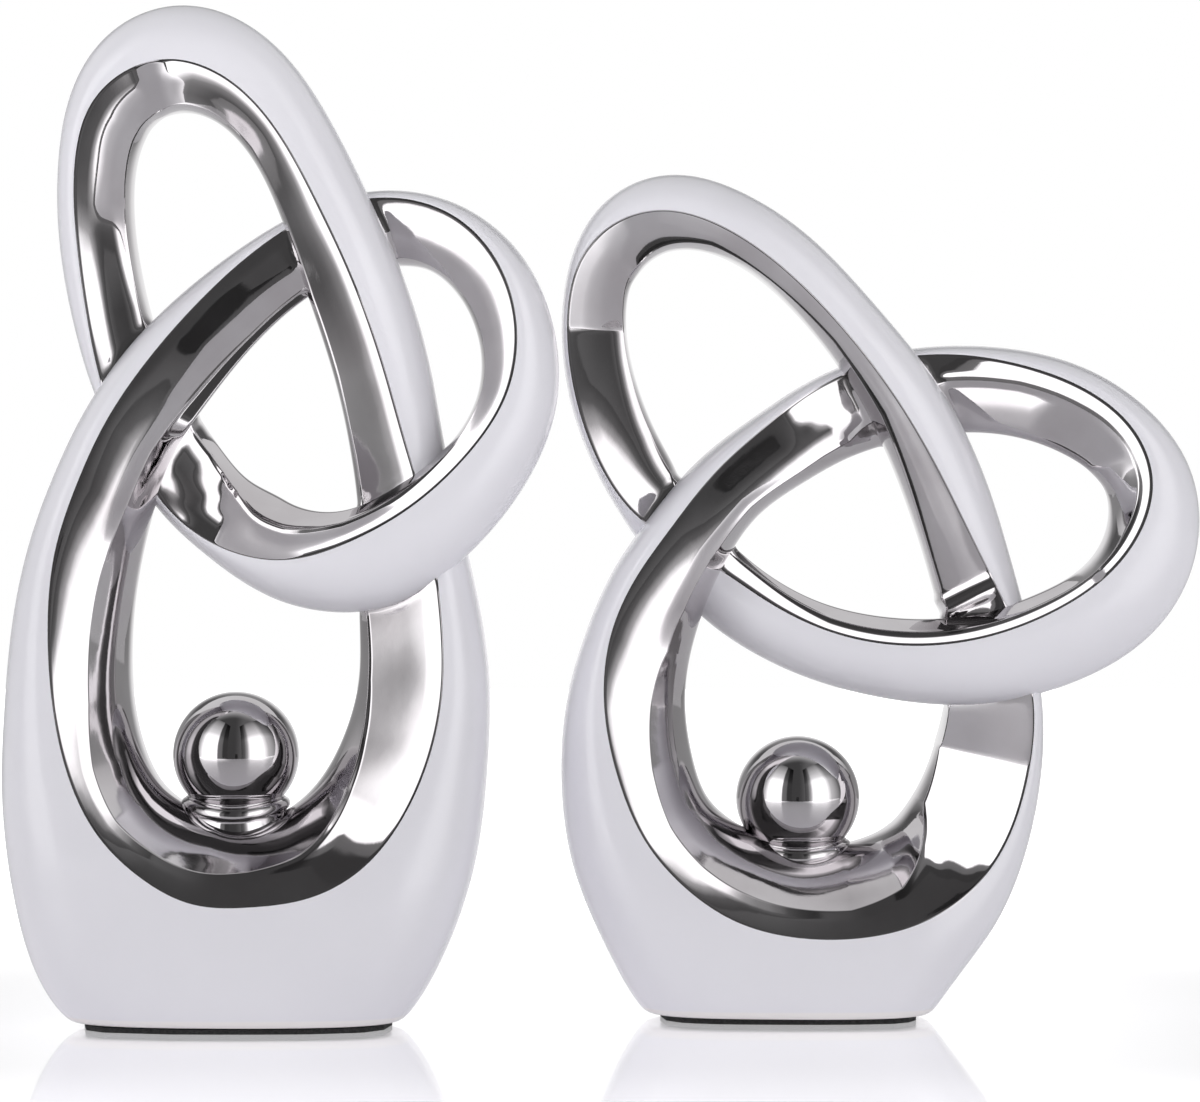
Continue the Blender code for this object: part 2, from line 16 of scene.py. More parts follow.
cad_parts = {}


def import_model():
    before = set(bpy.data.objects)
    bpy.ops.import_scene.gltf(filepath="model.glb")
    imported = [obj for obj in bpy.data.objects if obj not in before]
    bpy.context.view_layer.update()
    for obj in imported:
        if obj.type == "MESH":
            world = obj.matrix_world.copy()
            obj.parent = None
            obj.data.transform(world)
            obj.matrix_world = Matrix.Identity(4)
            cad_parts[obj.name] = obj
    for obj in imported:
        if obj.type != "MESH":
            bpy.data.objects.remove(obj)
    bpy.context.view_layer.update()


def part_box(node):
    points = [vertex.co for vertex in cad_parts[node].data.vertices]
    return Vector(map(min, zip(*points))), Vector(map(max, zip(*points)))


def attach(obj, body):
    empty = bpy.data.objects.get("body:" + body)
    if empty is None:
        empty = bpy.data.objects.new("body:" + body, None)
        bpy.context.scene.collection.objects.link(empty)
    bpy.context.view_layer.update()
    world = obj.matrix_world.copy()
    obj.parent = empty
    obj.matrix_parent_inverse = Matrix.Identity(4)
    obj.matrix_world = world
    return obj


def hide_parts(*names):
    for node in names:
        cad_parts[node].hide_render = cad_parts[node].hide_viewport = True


METRES = 0.001

# The strand's own sizes, with the same values as in the CAD model.
STRAND_DEPTH = 38
BASE_DEPTH = 80
CROSSING_SHIFT = 8.5
STRAND_SQUARENESS = 2.2
BASE_SQUARENESS = 3

# Finer form of its cross-section.
LEAST_WIDTH = 1  # of the glaze, the facet and the wedge
RIDGE_ROUNDING = 0.5  # from the ridge to where its rounding starts
CREASE_ROUNDING = 0.55
MOST_ROUNDING = 0.3  # share of a width that a rounding may take
STEEPEST_FACET = 0.6
LIP_WIDTH = 2.4  # of the raised edge that runs along some creases
LIP_SLOPE = 0
LIP_TURN = 0.55  # share of its width over which it turns up
WEDGE_BEND = ((0, 1), (0.33, 0.8), (1, 0.5), (1, 0))  # shares of its width and depth

# Finer form along the strand.
STATION_SPACING = 1.2
TANGENT_STEP = 0.01
WAVE_HEIGHT = 0.08
WAVE_LENGTH = 21
FILLET = 2.8  # of slip where one loop meets another
FILLET_SEARCH = 1.2  # times the fillet
FILLET_REACH = 75  # along the rail, each way from a crossing
FILLET_SOFTENINGS = 2
ROLL_WIDTH = 1.7  # of slip that was wiped round the strand by a joint
FOOT_SOFTNESS = 1

# Lean of the plated surface, which settles what it mirrors.
RIDGE_LINE = 1.1  # width of the thin line beside the ridge
RIDGE_SLOPE = (0, 0.05)
LEAN_WAVE = 0.03
LEAN_WAVE_LENGTH = 24
LEAN_SEED = 1  # of the places where noise_vector reads its three noises
FACET_WAVES = (0.4, 6)  # times the wave: on a level facet, and more with the square of its slope
WEDGE_FADE = (12, 2.5)  # how fast the wedge's own lean comes in at the crease and goes out
RAISED_ENOUGH = 1.2  # height of slip that hides the lean

BALL_DIAMETER = 44
POLE = 0.004  # radians left open at the ball's poles
SEAT_CONTACT = math.radians(49)
SEAT_LAND = 2.4
SEAT_AXIS = 0.05  # radius of the hole that stands for the ring's axis
SEAT_BURIED = 2
SEAT_HOLLOW = ((-0.5, 0.4), (0.8, 0))  # from the land's inner edge
SEAT_BEAD_RADIUS = 2.4
SEAT_BEAD_TURN = 150
SEAT_FLARE = 5
SEAT_SKIRT = 2
SEAT_SAG = 4
BALL_RINGS = 64
BALL_STEPS = 96
BEAD_STEPS = 12
FLARE_STEPS = 12

# The photograph's camera.
IMAGE_WIDTH = 1200
SENSOR_WIDTH = 36
PIXEL = 0.0003495  # metres at the tall one's middle depth
CAMERA_DISTANCE = 1.65
CAMERA_PLACE = (-0.0028, -1.667, 0.1657)

# The floor, in metres. A glow of 1 is white.
FLOOR_FAR = 4
FLOOR_EDGE = -0.9  # towards the camera, and out of its sight
FLOOR_ROUGHNESS = 0.05
FLOOR_COLOUR = (0.76, 0.75, 0.79)
FLOOR_SEEN = (0.80, 0.79, 0.83)  # its colour and gloss for the camera
FLOOR_GLOSS = 0.4
FLOOR_LIFT = ((0.25, 0.7), (0.28, 1.2))  # glow for the camera, by distance from the middle
FLOOR_FRONT = ((-0.27, -0.13), (0.12, 0))  # more of it in front of the pair
FLOOR_BOUNCE = 0.2  # glow for all but the camera
SPILL_BESIDE = ((0.15, 0.45), (0, 1))  # of the panels' light, by the distance to the side
SPILL_BEFORE = ((-0.8, -0.3), (0.85, 0))

# The room that the plating mirrors: light between two levels of one part of the direction.
ROOM_LIGHT = ((-0.2, 0.8), (2.25, 0.12))  # on dull surfaces, from below to above
ROOM_SIDES = ((-1, 1), (0.35, -0.3))  # added to it, from the left to the right
ROOM_DARK = 0.08
ROOM_BEHIND = 0.36
ROOM_DEEP = (-0.35, 0.1)  # from the camera's side to behind the pair
ROOM_ABOVE = ((0.2, 0.6), (ROOM_BEHIND, 0.9))
ROOM_ASIDE = ((0, 0.3), (ROOM_DARK, ROOM_DARK + 0.1))

# Soft boxes to the left and right of the camera, in metres and degrees, and (share, glow) stops
# across and up them.
PANEL_TURN = 50
PANEL_DISTANCE = 4.2
PANEL_WIDTH = 6.4
PANEL_BOTTOM = -0.66
PANEL_HEIGHT = 8.1
PANEL_GLOW = 2.2
LEFT_PANEL = (
    (0, 0.03), (0.14, 0.03), (0.17, 0.1), (0.27, 0.12), (0.3, 1), (0.6, 1), (0.7, 0.4), (0.78, 0.18),
    (1, 0.06),
)
RIGHT_PANEL = (
    (0, 0.04), (0.1, 0.08), (0.18, 0.3), (0.24, 0.9), (0.3, 1), (0.55, 1), (0.68, 0.4), (1, 0.06),
)
PANEL_UPWARD = ((0, 1), (0.4, 1), (0.5, 0.55), (0.62, 0.38), (0.78, 0.24), (1, 0.1))
BACKDROP_PLACE = (0, 1.3, 0.3)
BACKDROP_SIZE = (2.4, 2)
BACKDROP_GLOW = (
    (0, ROOM_BEHIND), (0.2, ROOM_BEHIND), (0.4, 1), (0.6, 1), (0.8, ROOM_BEHIND), (1, ROOM_BEHIND),
)
LENS_PLACE = (0, -1.62, 0.06)  # of the dark camera, as the plating mirrors it
LENS_SIZE = (0.13, 0.22)

# Finishes. A tint runs between two colours.
WHITE = (1, 1, 1, 1)
BLACK = (0.01, 0.01, 0.01, 1)
GLAZE_TINT = ((0.83, 0.82, 0.87), (0.865, 0.855, 0.905))
BARE_BODY = (0.90, 0.87, 0.87)
BARE_FOOT = (0.0042, 0.0052)  # metres, over which the glaze begins above the wiped foot
SILVER_TINT = ((0.50, 0.475, 0.49), (0.60, 0.585, 0.60))

CROSSINGS = ("left_crossing", "upper_crossing", "right_crossing")
CASTINGS = {
    "base": ("right_crossing", "upper_crossing"),
    "side_loop": ("upper_crossing", "left_crossing"),
    "top_loop": ("left_crossing", "right_crossing"),
}

# One row is one cross-section, with the same values as in the CAD model: place of the front ridge
# across and above the foot, shift towards the front (-1) or back (1), widths of the glaze outwards
# and of the facet and the whole plating inwards, and share of the base's depth and squareness.
TALL_RAIL = (
    (7.5, 42, 0, 66, 9.5, 28.5, 1),
    (-11.5, 43, -0.05, 62.5, 8.5, 29.5, 1),
    (-30, 52.5, -0.1, 56, 6.5, 27, 1),
    (-44.5, 67, -0.2, 39.5, 5, 25, 0.95),
    (-54.5, 86.5, -0.25, 27.5, 6.5, 24.5, 0.8),
    (-60, 109.5, -0.35, 20, 10, 25, 0.65),
    (-62, 137, -0.55, 15, 13.5, 26.5, 0.5),
    (-59.5, 164, -0.8, 11.5, 16.5, 27.5, 0.36),
    (-52.5, 186, -0.95, 10.5, 18, 26, 0.25),
    (-43, 207, -1, 10, 19.5, 24, 0.18),
    (-28.5, 229.5, -0.6, 9.5, 21, 23.5, 0.1),
    (-8.5, 253, 0.1, 7, 21, 22.5, 0.04),
    (11.5, 271, 0.75, 4.5, 20.5, 22.5, 0),
    (30.5, 282, 1, 3.5, 19.5, 23, 0),
    (54, 286.5, 0.95, 3.5, 20, 23, 0),
    (76.5, 280, 0.7, 5, 19, 20.5, 0),
    (92, 263.5, 0.4, 8.5, 16, 18, 0),
    (98.5, 241, -0.05, 12.5, 12, 14.5, 0),
    (95, 217.5, -0.45, 17.5, 8, 10.5, 0),
    (81.5, 196.5, -0.8, 22, 5.5, 8, 0),
    (62, 178.5, -1, 25, 5, 9.5, 0),
    (40.5, 166.5, -0.8, 25, 5.5, 12, 0),
    (18.5, 160.5, -0.3, 15.5, 9.5, 21, 0),
    (-6.5, 166, 0.3, 5.5, 17, 25, 0),
    (-23, 178.5, 0.8, 3.5, 21.5, 26.5, 0),
    (-35, 196, 1, 3.5, 22.5, 26, 0),
    (-45, 218.5, 0.95, 4.5, 20.5, 23.5, 0),
    (-51, 245.5, 0.75, 6.5, 17.5, 20.5, 0),
    (-54.5, 273, 0.55, 7.5, 16.5, 19, 0),
    (-54.5, 300, 0.3, 7.5, 17, 19.5, 0),
    (-49, 318, 0.1, 10, 17.5, 20, 0),
    (-37, 329.5, -0.05, 16, 17, 18.5, 0),
    (-20, 333.5, -0.25, 20.5, 15, 17, 0),
    (-1, 326.5, -0.45, 20, 12, 14.5, 0),
    (15.5, 309.5, -0.65, 17.5, 10.5, 13, 0),
    (29.5, 285, -0.9, 16.5, 12, 14.5, 0),
    (42.5, 257, -1, 16, 15, 17.5, 0),
    (52.5, 228.5, -0.5, 15, 16, 18.5, 0),
    (60, 201.5, 0.3, 12.5, 18, 20.5, 0.02),
    (67.5, 174, 1, 10.5, 22.5, 25.5, 0.1),
    (72, 145, 0.95, 12.5, 25.5, 29.5, 0.22),
    (73, 117.5, 0.75, 15.5, 25, 30.5, 0.38),
    (68, 91, 0.5, 20.5, 22.5, 31.5, 0.6),
    (59, 71, 0.3, 29, 19.5, 32, 0.8),
    (47, 56, 0.15, 40.5, 16.5, 32, 0.95),
    (29, 45.5, 0.05, 59, 12.5, 30.5, 1),
)
SHORT_RAIL = (
    (18, 28.5, 0, 54, 7, 31, 1),
    (-2.5, 29, -0.1, 53, 7.5, 29.5, 1),
    (-23, 34.5, -0.15, 49.5, 8, 30, 1),
    (-40.5, 46, -0.2, 38, 7.5, 28, 0.95),
    (-54.5, 62, -0.3, 28.5, 8, 26.5, 0.8),
    (-64, 83.5, -0.4, 21, 11, 27.5, 0.65),
    (-69, 108, -0.6, 14, 16.5, 29, 0.48),
    (-67, 133.5, -0.8, 8.5, 20, 29.5, 0.32),
    (-58.5, 153.5, -0.95, 8, 18, 27.5, 0.25),
    (-46, 171.5, -1, 8, 15.5, 23.5, 0.18),
    (-30.5, 191, -0.5, 7, 15.5, 22, 0.1),
    (-12.5, 207.5, 0.1, 5, 18, 24.5, 0.04),
    (6.5, 221.5, 0.7, 3.5, 19.5, 27.5, 0),
    (27.5, 230.5, 1, 3, 14.5, 29, 0),
    (52.5, 233.5, 0.9, 3.5, 7.5, 28, 0),
    (79.5, 229.5, 0.7, 6, 5.5, 25, 0),
    (103, 220, 0.45, 8, 5, 23, 0),
    (118.5, 206, 0.2, 10.5, 4, 20.5, 0),
    (124.5, 188.5, -0.05, 16.5, 3, 16.5, 0),
    (120.5, 171.5, -0.35, 23, 3, 11, 0),
    (108.5, 155.5, -0.7, 27, 3, 7, 0),
    (88.5, 142, -0.9, 26.5, 3, 7.5, 0),
    (61.5, 132.5, -1, 23.5, 3, 8.5, 0),
    (34, 130.5, -0.65, 19.5, 3, 9.5, 0),
    (9.5, 135.5, -0.1, 18, 3, 9, 0),
    (-11, 145.5, 0.45, 18, 3.5, 8.5, 0),
    (-27.5, 156.5, 0.9, 16.5, 6, 10, 0),
    (-42.5, 165.5, 1, 11, 11, 15.5, 0),
    (-59, 177.5, 0.95, 4, 18, 22, 0),
    (-71.5, 196, 0.8, 2, 20, 23.5, 0),
    (-80, 221.5, 0.6, 2, 20, 22.5, 0),
    (-82, 249, 0.4, 2, 19, 21, 0),
    (-76.5, 268.5, 0.2, 4, 17.5, 20, 0),
    (-64.5, 280, 0.05, 9, 16, 18.5, 0),
    (-48, 284, -0.1, 13.5, 12, 14.5, 0),
    (-28, 278.5, -0.35, 15, 7, 9.5, 0),
    (-6, 263.5, -0.6, 15.5, 4, 7.5, 0),
    (16, 241, -0.85, 15, 4.5, 8.5, 0),
    (35, 215.5, -1, 16, 6.5, 11, 0),
    (51, 188, -0.6, 15, 10.5, 14.5, 0),
    (64.5, 161.5, 0.1, 11, 16.5, 19, 0.02),
    (78, 133, 1, 5.5, 24, 26, 0.1),
    (83, 107.5, 0.95, 4.5, 28.5, 30.5, 0.22),
    (80, 82.5, 0.75, 6.5, 31, 33, 0.38),
    (71, 59, 0.5, 10.5, 29.5, 34.5, 0.6),
    (58, 43.5, 0.3, 17.5, 21, 34, 0.82),
    (39.5, 33, 0.1, 31, 11, 32.5, 0.97),
)

# How the plated facet on the front leans, at rows of the rail: the width of the facet, the share of
# a raised lip along its crease, then up to five (across the picture, up the picture) slopes from
# ridge to crease, in hundredths. The last one holds as far as the crease.
TALL_FACETS = (
    (0, 9.5, 0, (0, 5), (0, 10), (0, 15), (0, 22), (0, 40)),
    (1, 8.5, 0, (4, 5), (5, 10), (6, 15), (8, 22), (10, 40)),
    (2, 7, 0, (6, 6), (8, 10), (10, 13), (12, 18), (20, 30)),
    (3, 5.3, 0, (18, 8), (20, 10), (24, 12), (26, 14), (30, 25)),
    (4, 6.2, 0, (31, 3), (31, 3), (31, 3), (30, 5), (40, 15)),
    (5, 9.5, 0, (38, 0), (38, 0), (37, 0), (34, 2), (34, 10)),
    (6, 11.8, 0, (16, 0), (30, 0), (37, 0), (38, 0), (42, 3)),
    (7, 14.7, 0, (10, 0), (24, 0), (32, 0), (37, 0), (42, 0)),
    (8, 16, 0, (5, 2), (17, 1), (23, 0), (32, -1), (20, -30)),
    (9, 16, 0.2, (6, 2), (20, 0), (23, 0), (28, -1), (20, -30)),
    (10, 18.5, 0.4, (0, 3), (13, 2), (17, 0), (15, -20), (15, -25)),
    (10.5, 19.2, 0.6, (0, 3), (8, -8), (8, -8), (15, -25), (15, -30)),
    (11, 20, 0.6, (0, 3), (8, -8), (8, -8), (15, -25), (15, -30)),
    (12, 20, 0.6, (0, 3), (8, 0), (8, 0), (15, -25), (15, -30)),
    (14, 19, 0, (-20, 0), (-36, -2), (-42, -3), (-20, -60), (-20, -65)),
    (15, 18.5, 0, (-25, 0), (-36, -2), (-50, -4), (-20, -60), (-20, -65)),
    (16, 16, 0, (-25, 0), (-40, -3), (-50, -20), (-25, -60), (-25, -65)),
    (17, 12, 0, (-25, 0), (-45, -3), (-55, -30), (-55, -45), (-50, -50)),
    (18, 8, 0, (-25, 0), (-45, -3), (-55, -30), (-55, -45), (-50, -50)),
    (19, 5.2, 0.4, (-30, 0), (-45, 0), (-45, 0), (-45, 0), (-35, 10)),
    (20, 4.6, 1, (-25, 2), (-42, 2), (-42, 2), (-40, 0), (-30, 10)),
    (20.6, 4.8, 1, (-20, 2), (-35, 2), (-42, 0), (-30, -40), (-30, -50)),
    (21, 5, 1, (-15, 2), (-32, 0), (-38, -5), (-30, -50)),
    (21.5, 6.8, 1, (-10, 5), (-32, 0), (-35, -25), (-30, -50)),
    (22, 8.5, 1, (-30, -30), (-35, -22), (-35, -30), (-30, -50)),
    (22.4, 10.9, 1, (-30, -45), (-30, -30), (-35, -22), (-30, -40), (-30, -50)),
    (22.6, 12.5, 1, (-30, -45), (-30, -40), (-35, -24), (-35, -25), (-30, -50)),
    (22.9, 15.8, 1, (-30, -45), (-30, -50)),
    (23.1, 17.5, 1, (0, 10), (5, 10), (40, 10), (-30, -50)),
    (23.4, 19, 1, (5, 10), (5, 10), (42, 10), (42, 10), (-20, -30)),
    (23.7, 20.5, 1, (40, 10), (8, 10), (10, 12), (42, 10), (40, 10)),
    (24.3, 21.7, 1, (10, 10), (40, 10), (10, 12), (15, 10), (42, 10)),
    (27, 17.5, 0.5, (34, 0), (40, 0), (10, 5), (5, 5), (35, 0)),
    (28, 16.4, 0.5, (34, 0), (30, 0), (20, -2), (22, -3), (50, -30)),
    (28.4, 16.6, 0.5, (26, 0), (25, 0), (35, -35), (35, -50)),
    (29, 17, 1, (20, 0), (22, 0), (40, -25), (35, -50)),
    (30, 17.4, 1, (19, 0), (22, 0), (40, -25), (35, -50)),
    (31, 17, 1, (26, 0), (24, -5), (35, -40), (20, -60), (10, -60)),
    (31.5, 16, 0.8, (0, -50), (0, -50), (0, -60), (0, -65), (0, -60)),
    (32, 15, 0.5, (-35, 0), (-50, -10), (-60, -40), (-60, -45), (-40, -55)),
    (32.4, 13.8, 0.4, (-30, 0), (-60, -5), (-80, -10), (-85, -10), (-80, -20)),
    (33, 12, 0.3, (-30, -2), (-62, -3), (-85, -5), (-88, -10), (-80, -20)),
    (34, 10.5, 0.3, (-30, 0), (-62, 0), (-85, 0), (-90, 0)),
    (35, 12, 0.3, (-30, 0), (-62, 0), (-85, 3), (-90, 5)),
    (36, 15, 0.5, (-30, 0), (-65, 0), (-80, 5), (-82, 5), (-80, 5)),
    (37, 16, 0.6, (-30, 0), (-66, 0), (-75, 4), (-76, 4)),
    (38, 18, 1, (-30, 0), (-68, 0), (-74, 3), (-75, 3), (-74, 3)),
    (39, 22, 1, (-30, 0), (-66, 0), (-72, 0), (-73, 0), (-72, 0)),
    (40, 25.2, 1, (-32, 5), (-58, 5), (-66, 6), (-66, 6), (-64, 6)),
    (41, 24.9, 1, (-33, 5), (-58, 5), (-66, 6), (-66, 6), (-64, 6)),
    (42, 22.3, 1, (-33, 5), (-55, 5), (-63, 6), (-65, 6), (-64, 6)),
    (43, 19.5, 1, (-33, 4), (-44, 6), (-58, 8), (-60, 10), (-62, 10)),
    (44, 16.5, 1, (-12, 5), (-15, 10), (-17, 15), (-18, 20), (-30, 40)),
    (45, 12.5, 0.7, (-3, 5), (-3, 10), (-3, 15), (-3, 22), (-10, 40)),
)
SHORT_FACETS = (
    (0, 7.3, 0, (0, 5), (0, 10), (0, 15), (0, 20), (0, 40)),
    (1, 7.5, 0, (2, 5), (3, 10), (4, 14), (5, 20), (10, 40)),
    (2, 7.8, 0, (6, 5), (8, 10), (10, 13), (12, 17), (20, 35)),
    (3, 7.2, 0, (14, 5), (18, 8), (21, 10), (24, 10), (30, 30)),
    (4, 7.8, 0, (24, 3), (26, 3), (25, 5), (24, 6), (35, 20)),
    (5, 10, 0, (20, 0), (28, 0), (32, 2), (34, 3), (42, 10)),
    (6, 14, 0, (20, 0), (28, 0), (32, 0), (36, 0), (42, 3)),
    (7, 18.5, 0, (10, 0), (20, 0), (30, 0), (36, 0), (40, -5)),
    (8, 18, 0, (3, 2), (15, 0), (24, 0), (33, 0), (20, -30)),
    (9, 15.5, 0.2, (2, 2), (10, 2), (16, 0), (20, -2), (20, -30)),
    (10, 15.7, 0.5, (0, 3), (-2, -8), (-2, -8), (10, 2), (20, -30)),
    (11, 18.5, 0.5, (2, 3), (-2, -8), (-2, -8), (12, 2), (30, -5)),
    (11.3, 18.9, 0.5, (2, 3), (6, 3), (10, 0), (12, 0), (30, -10)),
    (11.5, 19.1, 0.5, (30, 0), (30, 0), (10, 0), (12, 0), (30, -10)),
    (11.8, 19.6, 0.5, (33, 0), (35, 0), (30, 0), (12, 0), (30, -10)),
    (12, 20, 0.5, (30, 0), (35, -2), (38, -3), (35, -5), (50, -30)),
    (14, 7.5, 0.3, (-10, 2), (-12, 2), (-18, 2), (-22, 0), (-42, -2)),
    (14.6, 6, 0.3, (-30, 0), (-42, -1), (-42, -1), (-42, 0)),
    (15, 5, 0.3, (-30, 0), (-42, -1), (-42, -1), (-42, 0)),
    (16, 4.5, 0.3, (-30, 0), (-42, -1), (-42, -1), (-42, 0)),
    (18, 2.6, 0.5, (-10, 0), (-35, -2), (-45, -5), (-45, -10)),
    (20, 2.6, 0.7, (-10, 0), (-35, -2), (-45, -5), (-45, -10)),
    (20.15, 2.6, 0.8, (0, -30), (0, -50)),
    (20.3, 2.6, 0.9, (0, 5), (25, 10), (40, 10), (40, 10), (30, 10)),
    (24, 2.6, 1, (0, 5), (25, 10), (40, 10), (30, 10), (20, 20)),
    (26, 6, 1, (0, 5), (25, 10), (40, 10), (40, 10), (30, 30)),
    (27, 11, 1, (0, 5), (10, 10), (30, 10), (30, 20), (30, 30)),
    (28, 18.5, 0.8, (25, 0), (34, 0), (30, 2), (10, 5), (30, 5)),
    (29, 20.3, 0.5, (26, 0), (28, 0), (20, 2), (8, 5), (30, 0)),
    (30, 20.3, 0.5, (15, 0), (12, 0), (8, 2), (5, 3), (30, 0)),
    (30.7, 19.8, 0.5, (15, 0), (10, 0), (6, 2), (4, 3), (30, 0)),
    (30.8, 19.7, 0.8, (35, -22), (35, -24), (35, -36), (35, -50)),
    (32, 17.8, 1, (35, -22), (35, -24), (35, -36), (35, -50)),
    (32.3, 17.4, 1, (35, -22), (35, -26), (35, -40), (35, -50)),
    (33, 16.4, 1, (30, -30), (30, -40), (20, -40), (0, -24), (0, -10)),
    (33.5, 14.2, 1, (0, -40), (0, -50), (0, -40), (0, -20), (0, -10)),
    (34, 12, 1, (-30, -40), (-40, -50), (-20, -40), (-10, -20), (0, -10)),
    (35, 7, 1, (-30, -30), (-40, -40), (-40, -50), (-20, -30), (0, -10)),
    (37, 4.5, 1, (-30, -30), (-40, -50), (-40, -50), (-40, -50), (-10, -20)),
    (38, 6.5, 0.8, (-35, -30), (-40, -26), (-40, -50), (-25, -30), (-5, -5)),
    (40, 16.8, 0.8, (-30, -24), (-38, -25), (-40, -38), (-25, -30), (-5, -5)),
    (40.13, 17.6, 0.8, (-30, -24), (-38, -25), (-40, -38), (-25, -30), (-5, -5)),
    (40.19, 18, 0.8, (-45, 5)),
    (40.23, 18.3, 0.8, (-45, 5)),
    (40.29, 18.7, 0.8, (0, 4)),
    (40.34, 19, 0.8, (0, 4)),
    (40.38, 19.2, 0.8, (-45, 5)),
    (40.45, 19.6, 0.8, (-10, 4), (-40, -50), (-40, -50), (-40, -50), (-45, 5)),
    (40.5, 19.9, 0.8, (-10, 4), (-42, 0), (-30, 0), (-10, 4), (-40, -50)),
    (40.65, 20.8, 0.8, (-10, 4), (-42, 0), (-30, 0), (-10, 4), (-40, -50)),
    (41, 23, 0.8, (-30, -24), (-38, -25), (-40, -38), (-40, -50)),
    (42, 29.2, 0.8, (-30, -24), (-35, -25), (-35, -30), (-35, -40), (-35, -45)),
    (42.7, 31, 0.8, (-30, -24), (-35, -25), (-35, -30), (-35, -40), (-35, -45)),
    (42.8, 31.2, 0.8, (-44, 0), (-46, 2), (-48, 4), (-50, 6), (-50, 10)),
    (44, 30, 0.4, (-43, 2), (-45, 3), (-47, 5), (-48, 8), (-50, 12)),
    (44.3, 27.4, 0.4, (-43, 2), (-45, 3), (-47, 5), (-48, 8), (-50, 12)),
    (44.6, 24.8, 0.3, (-15, 5), (-43, 5), (-47, 5), (-48, 8), (-48, 10)),
    (45, 21.4, 0.2, (-10, 5), (-15, 10), (-25, 10), (-46, 10), (-48, 10)),
    (45.3, 18.3, 0.1, (-8, 5), (-10, 10), (-12, 12), (-15, 15), (-30, 20)),
    (46, 11, 0, (-3, 5), (-3, 10), (-5, 15), (-5, 20), (-20, 40)),
)

# How the wedge beside the facet leans where it does so other than by its form: how far it does, then
# its slopes by the crease and at its innermost, in hundredths.
TALL_WEDGES = (
    (9.3, 0, (5, 10)),
    (9.7, 1, (5, 10)),
    (12.5, 1, (5, 10)),
    (12.8, 0, (5, 10)),
    (19.3, 0, (0, 200), (0, 250)),
    (19.8, 1, (0, 200), (0, 250)),
    (24.4, 1, (0, 200), (0, 250)),
    (24.7, 0, (0, 200), (0, 250)),
)
SHORT_WEDGES = (
    (13, 0, (-42, 0), (-30, -50)),
    (13.3, 1, (-42, 0), (-30, -50)),
    (15.3, 1, (-40, 0), (-30, -50)),
    (16, 1, (-30, -35), (-20, -60)),
    (17.2, 1, (-20, -60)),
    (17.5, 0, (-20, -60)),
    (20.3, 0, (0, 200), (0, 250)),
    (20.6, 1, (0, 200), (0, 250)),
    (26.6, 1, (0, 200), (0, 250)),
    (27, 0, (0, 200), (0, 250)),
)

# Rolls and grooves of slip round the plating near a joint: at which row of the rail, and how high.
TALL_ROLLS = ()
SHORT_ROLLS = ((40.22, 0.6), (40.36, -0.4))

# Points of a half section, from the outermost point over the ridge to the innermost.
GLAZE_POINTS = 30
CORNER_POINTS = 6
FACET_POINTS = 22
LIP_POINTS = 8
WEDGE_POINTS = 20
HALF_POINTS = GLAZE_POINTS + FACET_POINTS + LIP_POINTS - 1 + WEDGE_POINTS + 2 * CORNER_POINTS
DENSE = 160

# Pairs of slopes in a full row of each table. Where a row has fewer, its last pair is repeated.
FACET_SLOPES = 5
WEDGE_SLOPES = 2

# Columns of the whole section, which mirrors the half at the back.
RIDGE_INDEX = GLAZE_POINTS + CORNER_POINTS // 2
FACET_START = GLAZE_POINTS + CORNER_POINTS
FACET_END = FACET_START + FACET_POINTS
WEDGE_START = FACET_END + LIP_POINTS - 1 + CORNER_POINTS
RING = 2 * HALF_POINTS - 2
FROM_RIDGE = np.minimum(np.arange(RING) - RIDGE_INDEX, RING - RIDGE_INDEX - np.arange(RING))


def closed_curve(knots, length, values):
    """A smooth closed curve through the values at the knots, as a function of distances along."""
    spans = np.diff(np.append(knots, length))
    count = len(values)
    system = np.zeros((count, count))
    slopes = np.zeros_like(values)
    for i in range(count):
        before, after = spans[i - 1], spans[i]
        system[i, i - 1] = before
        system[i, i] = 2 * (before + after)
        system[i, (i + 1) % count] = after
        rise_after = (values[(i + 1) % count] - values[i]) / after
        rise_before = (values[i] - values[i - 1]) / before
        slopes[i] = 6 * (rise_after - rise_before)
    bends = np.linalg.solve(system, slopes)

    def at(distances):
        wrapped = np.asarray(distances) % length
        i = np.searchsorted(knots, wrapped, side="right") - 1
        j = (i + 1) % count
        span = spans[i][:, None]
        done = (wrapped - knots[i])[:, None] / span
        left = 1 - done
        straight = left * values[i] + done * values[j]
        bend = (left**3 - left) * bends[i] + (done**3 - done) * bends[j]
        return straight + bend * span**2 / 6

    return at


def table_values(row, pairs):
    """The numbers of a row of a table, in one list, with its pairs of slopes as plain slopes."""
    plain = [value for value in row[1:] if not isinstance(value, tuple)]
    slopes = [value for value in row[1:] if isinstance(value, tuple)]
    slopes += slopes[-1:] * (pairs - len(slopes))
    return np.concatenate([plain, np.divide(slopes, 100).ravel()])


